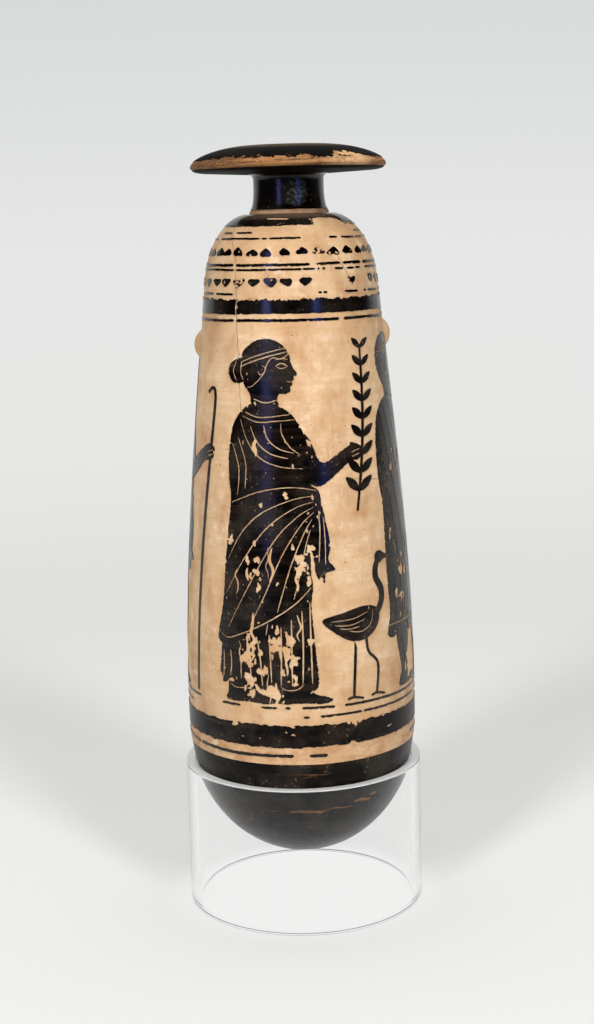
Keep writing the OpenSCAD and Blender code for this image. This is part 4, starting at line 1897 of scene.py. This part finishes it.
MAN_CUTS: tuple[Line, ...] = (
    (
        (
            (5, 80.4), (3.6, 80.9), (2.8, 79.7), (1.4, 80.3), (0.4, 79), (-0.4, 78.4), (-0.8, 76.8),
            (-1.6, 75.4), (-3.2, 74.6), (-4.8, 74.2),
        ),
        FINE,
    ),
    (((4.4, 82.2), (0.8, 81.6), (-3.2, 80.6), (-6, 79.4)), FINE),
    (((4.8, 81.5), (1, 80.8), (-3, 79.8), (-6.2, 78.6)), LIGHT),
    (((2.4, 77.9), (3.3, 78.5), (4.3, 78.3), (4.9, 77.8)), LIGHT),
    (((2.5, 77.7), (3.5, 77.4), (4.7, 77.7)), THIN),
    (((2.3, 79.3), (3.6, 79.6), (4.8, 79.3)), THIN),
    (((6.2, 75.2), (5.2, 75.3), (3.4, 74.4), (1.6, 73.2), (0.6, 74.8), (-0.4, 76.2)), PLAIN),
    (((1.7, 72.8), (2.2, 71.2), (3.2, 69.6)), LIGHT),
    (((5.5, 74.2), (5.4, 71.6), (5.4, 68.2)), SLIM),
    (((4, 73.8), (4, 71.4), (4.2, 69.2)), SLIM),
    (((6.5, 73.8), (6.6, 71), (6.5, 68.4)), SLIM),
    (((-2.8, 70.2), (-0.6, 69), (2.4, 68.7)), LIGHT),
    (((-1.8, 68.4), (2.2, 64.2), (6, 59.6), (8.6, 54.8)), FINE),
    (((-3.4, 68.4), (0.8, 63.2), (5, 58), (9, 52.2)), FINE),
    (((4.6, 67.2), (6, 64), (8, 60.8)), PLAIN),
    (((-5.6, 67.4), (-3, 58), (0.4, 46), (3, 32), (3.6, 16.8)), FINE),
    (((-7.4, 65.6), (-5.6, 54), (-3, 40), (-1.2, 26), (-0.8, 16.6)), FINE),
    (((-9, 62.4), (-7.8, 50), (-6, 36), (-5.2, 24), (-5.2, 16.4)), FINE),
    (((-10, 55), (-9.2, 42), (-8.6, 28), (-8.6, 16.4)), FINE),
    (((-1.8, 64), (1.6, 56), (5, 46), (6.6, 33), (7.2, 17.6)), FINE),
    (((10.8, 47.6), (8.6, 44), (8.4, 36), (8.8, 26), (9, 18.8)), FINE),
    (((-12, 15.8), (-8.6, 15.8), (-4, 15.8), (1.6, 16), (6.6, 16.6), (10.2, 18.2)), PLAIN),
    (((4, 12), (4.6, 8.4), (4.6, 5.4)), SLIM),
    (((-6.4, 12), (-5.8, 8.4), (-5.8, 5.4)), SLIM),
)


class Held(Enum):
    """What a figure holds in its hand."""

    BRANCH = "branch"
    STAFF = "staff"
    WREATH = "wreath"


@dataclass(frozen=True)
class Figure:
    """A draped walker, drawn flat and facing right, in millimetres from the spot it stands on."""

    name: str
    azimuth: float
    shapes: tuple[tuple[Flat, ...], ...]
    cuts: tuple[Line, ...]
    held: Held
    seed: int

    def draw(self, sheet: PaintSheet) -> None:
        """Draws the figure, what it holds and its wear on a sheet.

        Args:
            sheet: Sheet that is laid upright at the figure's place.
        """
        rng = random.Random(self.seed + 50)
        for shape in (*self.shapes, ARM, CLOTH_END):
            outline = ragged(rng, rounded(shape, 0.4), 0.09)
            sheet.paint(outline)
            for x, y in outline[::5]:
                if rng.random() < 0.3:
                    size = rng.uniform(0.12, 0.38)
                    sheet.bare(flake(rng, x, y, size, size * rng.uniform(0.8, 1.6)))
        for points, width in (*self.cuts, *HAND_CUTS):
            sheet.bare(ragged(rng, stroke(points, width, 0.5), 0.03))
        for outline in self._held():
            sheet.paint(outline)
        self._wear(sheet)

    def _held(self) -> list[list[Flat]]:
        """Outlines the thing in the figure's hand.

        Returns:
            The painted outlines.
        """
        if self.held is Held.STAFF:
            return [stroke(STAFF, 0.95, taper=0.8)]
        if self.held is Held.WREATH:
            mid, reach = (22.4, 53.2), 4.2
            ring = ((reach, 0.0), (reach + 1.5, 0.22), (reach + 2.2, 0.62), (reach + 0.2, 0.47))
            leaves = []
            for a in turns(11):
                leaf = [(mid[0] + r * math.cos(a + t), mid[1] + r * math.sin(a + t)) for r, t in ring]
                leaves.append(rounded(leaf, 0.4))
            return leaves
        return leafy_branch((21.6, 44.0), (22.6, 82.0), 9, 5.2)

    def _wear(self, sheet: PaintSheet) -> None:
        """Flakes the gloss, most of all low down, as rubbing has left it.

        Args:
            sheet: The figure's sheet.
        """
        rng = random.Random(self.seed)
        for _ in range(90):
            y = 62 * rng.random() ** 1.5
            x = rng.uniform(-13, 14)
            size = 0.14 + 0.9 * rng.random() ** 4
            sheet.bare(flake(rng, x, y, size, size * rng.uniform(0.8, 2.4)))
        for _ in range(11):
            x, y = rng.uniform(-9, 10), rng.uniform(1, 34)
            for _ in range(rng.randint(4, 9)):
                size = rng.uniform(0.3, 1.1)
                spot = (x + rng.gauss(0, 1.1), y + rng.gauss(0, 2.0))
                sheet.bare(flake(rng, *spot, size, size * rng.uniform(0.9, 2.0)))
        for _ in range(14):
            x, y = rng.uniform(-9, 9), rng.uniform(4, 40)
            line = [(x + rng.uniform(-0.5, 0.5), y - 1.6 * k) for k in range(rng.randint(3, 6))]
            sheet.bare(stroke(line, rng.uniform(0.25, 0.8), 0.6, 0.1))
        for _ in range(16):
            x, y = rng.uniform(-9, 8), rng.uniform(50, 83)
            size = rng.uniform(0.1, 0.26)
            sheet.bare(flake(rng, x, y, size, size))


def leafy_branch(foot: Flat, tip: Flat, pairs: int, leaf: float) -> list[list[Flat]]:
    """Outlines a branch with pairs of pointed leaves.

    Args:
        foot: Lower end of the stem.
        tip: Upper end of the stem.
        pairs: Number of leaf pairs.
        leaf: Length of the lowest leaves.

    Returns:
        The painted outlines.
    """
    bow = 1.2
    reach = (tip[0] - foot[0], tip[1] - foot[1])
    way = math.atan2(reach[1], reach[0])

    def stem(t: float) -> Flat:
        """Point of the stem at a share of its length."""
        return foot[0] + reach[0] * t + bow * math.sin(math.pi * t), foot[1] + reach[1] * t

    outlines = [stroke([stem(i / 8) for i in range(9)], 0.75, taper=0.6)]
    for i in range(pairs):
        t = 0.12 + 0.86 * i / (pairs - 1)
        x, y = stem(t)
        long = leaf * (1 - 0.35 * t)
        for side in (-1, 1):
            a = way + side * math.radians(48)
            along = (long * math.cos(a), long * math.sin(a))
            out = (-along[1] * 0.21, along[0] * 0.21)
            middle = (x + along[0] / 2, y + along[1] / 2)
            left, right = ((middle[0] + k * out[0], middle[1] + k * out[1]) for k in (1, -1))
            outlines.append(rounded([(x, y), left, (x + along[0], y + along[1]), right], 0.4))
    return outlines


CRANE_SHAPES = (
    (
        (-9.4, 19.4), (-6.4, 16.2), (-2.4, 14), (1.6, 14.2), (4.6, 16.4), (5.6, 19.4), (4, 21.4),
        (0.4, 21.8), (-4.4, 20.8),
    ),
    ((5, 32.6), (5.6, 33.8), (7, 34), (8.2, 33.2), (12, 31.8), (8.2, 31.9), (6.6, 31.2), (5.4, 31.6)),
)
CRANE_STROKES: tuple[Line, ...] = (
    (((4, 18.6), (6.4, 22), (6.6, 25), (5, 28), (5.2, 30.6), (6.4, 32.4)), 1.7),
    (((-1.4, 15), (-1.9, 8), (-2.4, 0.6)), 0.7),
    (((1.4, 15), (1.9, 11), (4.6, 7.6), (4, 0.6)), 0.7),
    (((-4, 0.3), (-2.4, 0.7), (0.2, 0.1)), 0.6),
    (((2.4, 0.3), (4, 0.7), (6.6, 0.1)), 0.6),
)
CRANE_CUTS: tuple[Line, ...] = (
    (((3.6, 20.6), (3, 17.6), (0.4, 16), (-3, 16.4)), FINE),
    (((2.2, 20.4), (-2, 19.2), (-7.4, 19)), FINE),
    (((1.4, 18.8), (-2.4, 17.8), (-6.6, 18)), FINE),
    (((-0.2, 17.2), (-3, 16.9), (-5.4, 17.2)), FINE),
    (((6.3, 32.9), (6.8, 33.2), (7.2, 32.9), (6.8, 32.5), (6.4, 32.8)), 0.2),
)


@dataclass(frozen=True)
class Crane:
    """A long-legged bird that stands in the free field below the branch, drawn as flat as the figures."""

    name: str
    azimuth: float
    seed: int

    def draw(self, sheet: PaintSheet) -> None:
        """Draws the bird and its wear on a sheet.

        Args:
            sheet: Sheet that is laid upright at the bird's place.
        """
        for shape in CRANE_SHAPES:
            sheet.paint(rounded(shape, 0.5))
        for points, width in CRANE_STROKES:
            sheet.paint(stroke(points, width, 0.6, 0.75))
        for points, width in CRANE_CUTS:
            sheet.bare(stroke(points, width, 0.5))
        rng = random.Random(self.seed)
        for _ in range(34):
            size = 0.12 + 0.6 * rng.random() ** 3
            sheet.bare(flake(rng, rng.uniform(-9, 7), rng.uniform(0, 32), size, size * rng.uniform(0.8, 1.8)))


@dataclass
class Frieze:
    """The painted procession round the wall: four draped walkers of a common type, and two cranes."""

    form: FlaskForm
    profile: Profile
    foot_z: float = 58.1
    size: float = 1.035
    figures: tuple[Figure | Crane, ...] = (
        Figure("branch_bearer", -16, WOMAN_SHAPES, WOMAN_CUTS, Held.BRANCH, 5),
        Figure("staff_bearer", 75, MAN_SHAPES, MAN_CUTS, Held.STAFF, 6),
        Figure("wreath_bearer", 164, WOMAN_SHAPES, WOMAN_CUTS, Held.WREATH, 7),
        Figure("second_staff_bearer", -105, MAN_SHAPES, MAN_CUTS, Held.STAFF, 8),
        Crane("crane", 31, 9),
        Crane("second_crane", -149, 10),
    )

    def build(self, gloss: Material) -> None:
        """Paints and dresses every figure.

        Args:
            gloss: Finish of the frieze's gloss.
        """
        foot = self.profile.run_at(self.foot_z)
        for figure in self.figures:
            layout = Upright(self.profile, math.radians(figure.azimuth), foot, self.size)
            sheet = PaintSheet(self.profile, layout)
            figure.draw(sheet)
            coat = sheet.build(f"frieze_{figure.name}", self.form.over_lift)
            hand_over(coat, Body.FLASK, gloss)


@dataclass
class AgeMarks:
    """Hairline cracks in the slip."""

    profile: Profile
    width: float = 0.14
    shake: float = 0.14
    belt_r: float = 24.0
    lift: Flat = (0.285, 0.3)
    cracks: tuple[tuple[Flat, ...], ...] = (
        (
            (-60, 172.2), (-48, 167.5), (-40, 163.3), (-38, 158), (-37, 154), (-36, 146.9), (-33.5, 138),
            (-32, 130.6), (-30, 124), (-28, 117.7),
        ),
        ((27, 111.7), (36, 111.0), (45, 110.5), (60, 109.8), (78, 109.0)),
        ((33, 164.5), (36, 161.5), (40, 159.0), (44, 156.2)),
        ((150, 148), (153, 138), (149, 126), (152, 112)),
    )

    def build(self) -> None:
        """Draws and dresses the cracks."""
        rng = random.Random(12)
        layout = Unrolled(self.belt_r)
        sheet = PaintSheet(self.profile, layout)
        for crack in self.cracks:
            path = [(layout.across(a), self.profile.run_at(z)) for a, z in crack]
            line = ragged(rng, rounded(path, 1.3, closed=False), self.shake)
            sheet.paint(stroke(line, self.width, 1.0, 0.3))
        marks = sheet.build("hairline_cracks", self.lift)
        hand_over(marks, Body.FLASK, DirtFinish().material())


@dataclass(frozen=True)
class Lamp:
    """A soft rectangular lamp, placed by angles in degrees and lengths in metres from what it points at."""

    name: str
    azimuth: float
    height: float
    far: float
    size: Flat
    power: float
    tone: Colour
    mirrored: bool = True
    shining: bool = True

    def hang(self, aim: Vector) -> None:
        """Hangs the lamp, which may be kept out of reflections or off matt surfaces.

        Args:
            aim: Spot that it points at.
        """
        a, e = math.radians(self.azimuth), math.radians(self.height)
        way = Vector((math.sin(a) * math.cos(e), -math.cos(a) * math.cos(e), math.sin(e)))
        clear_selection()
        bpy.ops.object.light_add(type="AREA", location=aim + way * self.far)
        lamp = bpy.context.object
        lamp.name = self.name
        lamp.rotation_euler = (-way).to_track_quat("-Z", "Y").to_euler()
        lamp.visible_glossy = self.mirrored
        lamp.visible_diffuse = self.shining
        lamp.visible_transmission = False
        lamp.data.shape = "RECTANGLE"
        lamp.data.size, lamp.data.size_y = self.size
        lamp.data.energy = self.power
        lamp.data.color = self.tone


@dataclass
class Studio:
    """Camera, lamps, floor and backdrop."""

    eye: Triple = (0.0, -0.4227, 0.1728)
    pitch: float = 9.79
    roll: float = -1.5
    lens: float = 60.0
    sensor: float = 36.0
    clip_start: float = 0.01
    floor_half: float = 1.6
    backdrop_y: float = 1.1
    backdrop_h: float = 1.8
    sweep: float = 0.7
    slack: float = 0.01
    aim: Triple = (0, 0, 0.1)
    horizon: Flat = (-0.02, 0.14)
    wall_rise: Flat = (-0.02, 0.3)
    ahead: Flat = (0.25, 0.85)
    room_tone: Colour = (0.97, 0.985, 1.0)
    room_light: float = 0.02
    room_through: float = 0.65
    room_seen: float = 0.8
    wall: Flat = (0.84, 0.69)
    ceiling: float = 0.05
    gloom: float = 0.05
    lamps: tuple[Lamp, ...] = (
        Lamp("overhead_box", 180, 84, 1.3, (0.9, 0.5), 6.2, (1, 1, 1)),
        Lamp("left_lamp", -31, 34, 1.3, (0.2, 0.7), 12.7, (1, 0.985, 0.96), mirrored=False),
        Lamp("right_lamp", 31, 34, 1.3, (0.2, 0.7), 11.8, (1, 0.985, 0.96), mirrored=False),
        Lamp("left_strip", -32, 20, 1.2, (0.18, 1.0), 2.2, (0.3, 0.35, 1), shining=False),
        Lamp("right_strip", 31, 20, 1.2, (0.18, 1.0), 1.8, (0.1, 0.2, 1), shining=False),
    )

    def build(self) -> None:
        """Sets up the whole studio."""
        self._paper()
        for lamp in self.lamps:
            lamp.hang(Vector(self.aim))
        self._room()
        self._camera()
        bpy.context.scene.view_settings.view_transform = "Standard"

    def _paper(self) -> None:
        """Rolls the paper out as floor and up as backdrop, with a wide curve between."""
        clear_selection()
        middle = (0, self.backdrop_y - self.floor_half, 0)
        bpy.ops.mesh.primitive_plane_add(size=2 * self.floor_half, location=middle)
        paper = bpy.context.object
        paper.name = "paper_sweep"
        bpy.ops.object.transform_apply(location=True, rotation=True, scale=True)
        self._pick_back_edge(paper)
        bpy.ops.mesh.select_mode(type="EDGE")
        bpy.ops.mesh.extrude_region_move(TRANSFORM_OT_translate={"value": (0, 0, self.backdrop_h)})
        self._pick_back_edge(paper)
        bpy.ops.mesh.bevel(offset=self.sweep, segments=24, affect="EDGES")
        bpy.ops.mesh.select_all(action="SELECT")
        bpy.ops.mesh.normals_make_consistent(inside=True)
        bpy.ops.object.mode_set(mode="OBJECT")
        bpy.ops.object.shade_smooth()
        paper.data.materials.append(PaperFinish().material())

    def _pick_back_edge(self, paper: Piece) -> None:
        """Selects the floor's back edge and stays in edit mode.

        Args:
            paper: The paper, active.
        """
        bpy.ops.object.mode_set(mode="EDIT")
        bpy.ops.mesh.select_all(action="DESELECT")
        bpy.ops.object.mode_set(mode="OBJECT")
        for edge in paper.data.edges:
            ends = [paper.data.vertices[i].co for i in edge.vertices]
            edge.select = all(p.y > self.backdrop_y - self.slack and p.z < self.slack for p in ends)
        bpy.ops.object.mode_set(mode="EDIT")

    def _room(self) -> None:
        """Gives the dim room: pale walls for the camera and behind the flask, darkness elsewhere."""
        bench = NodeBench("dim_room", room=True)
        axes, rays = bench.axes(), bench.rays()
        camera, glossy, passing = (rays[f"Is {kind} Ray"] for kind in ("Camera", "Glossy", "Transmission"))
        ceiling = bench.level(axes["Z"], *self.horizon, self.room_seen, self.ceiling)
        behind = bench.times(ceiling, bench.level(axes["Y"], *self.ahead, self.gloom, 1))
        wall = bench.times(bench.level(axes["Z"], *self.wall_rise, *self.wall), camera)
        bright = bench.greatest(behind, wall, bench.times(passing, self.room_through))
        seen = bench.greatest(camera, glossy, passing)
        strength = bench.level(seen, 0, 1, self.room_light, bright)
        room = bench.add("ShaderNodeBackground", {"Color": self.room_tone, "Strength": strength})
        bpy.context.scene.world = bench.show(room.outputs["Background"])

    def _camera(self) -> None:
        """Stands the camera where the photograph was taken from."""
        clear_selection()
        bpy.ops.object.camera_add(location=self.eye)
        camera = bpy.context.object
        tilt = Matrix.Rotation(math.radians(90 - self.pitch), 4, "X")
        turn = Matrix.Rotation(math.radians(self.roll), 4, "Z")
        camera.matrix_world = Matrix.Translation(self.eye) @ tilt @ turn
        camera.data.lens = self.lens
        camera.data.sensor_fit = "VERTICAL"
        camera.data.sensor_height = self.sensor
        camera.data.clip_start = self.clip_start
        bpy.context.scene.camera = camera


def main() -> None:
    """Loads the frame and builds every piece in order."""
    logging.basicConfig(level=logging.INFO, format="%(name)s: %(message)s")
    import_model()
    form = FlaskForm.from_frame()
    profile = Profile(form.outside())
    browned = GlossFinish(thin=(0.03, 0.017, 0.01))
    clay, slip, gloss, worn, pitted, matt, hazy, drawn, rubbed = (finish.material() for finish in (
        ClayFinish(),
        SlipFinish(),
        GlossFinish(),
        replace(browned, name="rubbed_gloss", thinness=0.4, dusty=0.6, smooth=0.22, dull=0.36, shine=0.13),
        # The pitted neck carries pale specks that are a painted highlight.
        GlossFinish("pitted_gloss", smooth=0.14, dull=0.22, pitted=0.03, highlight_at=(1.5, -8.5, 179)),
        GlossFinish("matt_gloss", thinness=0.2, dusty=0.15, smooth=0.5, dull=0.65, shine=0.02),
        # The shoulder's paler band along the collar is partly a film and partly painted sheen.
        GlossFinish("hazy_gloss", film_and_sheen=(0.2, 0.13, 0.085), film_and_sheen_z=(172.4, 173.4)),
        replace(browned, name="drawn_gloss", thinness=0.7, dusty=0.5, smooth=0.12, dull=0.34, shine=0.3),
        ClayFinish("rubbed_clay", (0.5, 0.29, 0.16), (0.7, 0.48, 0.31), (0.3, 0.14, 0.07)),
    ))
    Studio().build()
    RingStand().build()
    ThrownFlask(form).build(clay, rubbed, slip)
    WhiteGround(form, profile).build(slip)
    GlossBands(form, profile).build(gloss, worn, pitted, matt, hazy)
    Frieze(form, profile).build(drawn)
    AgeMarks(profile).build()


if __name__ == "__main__":
    main()
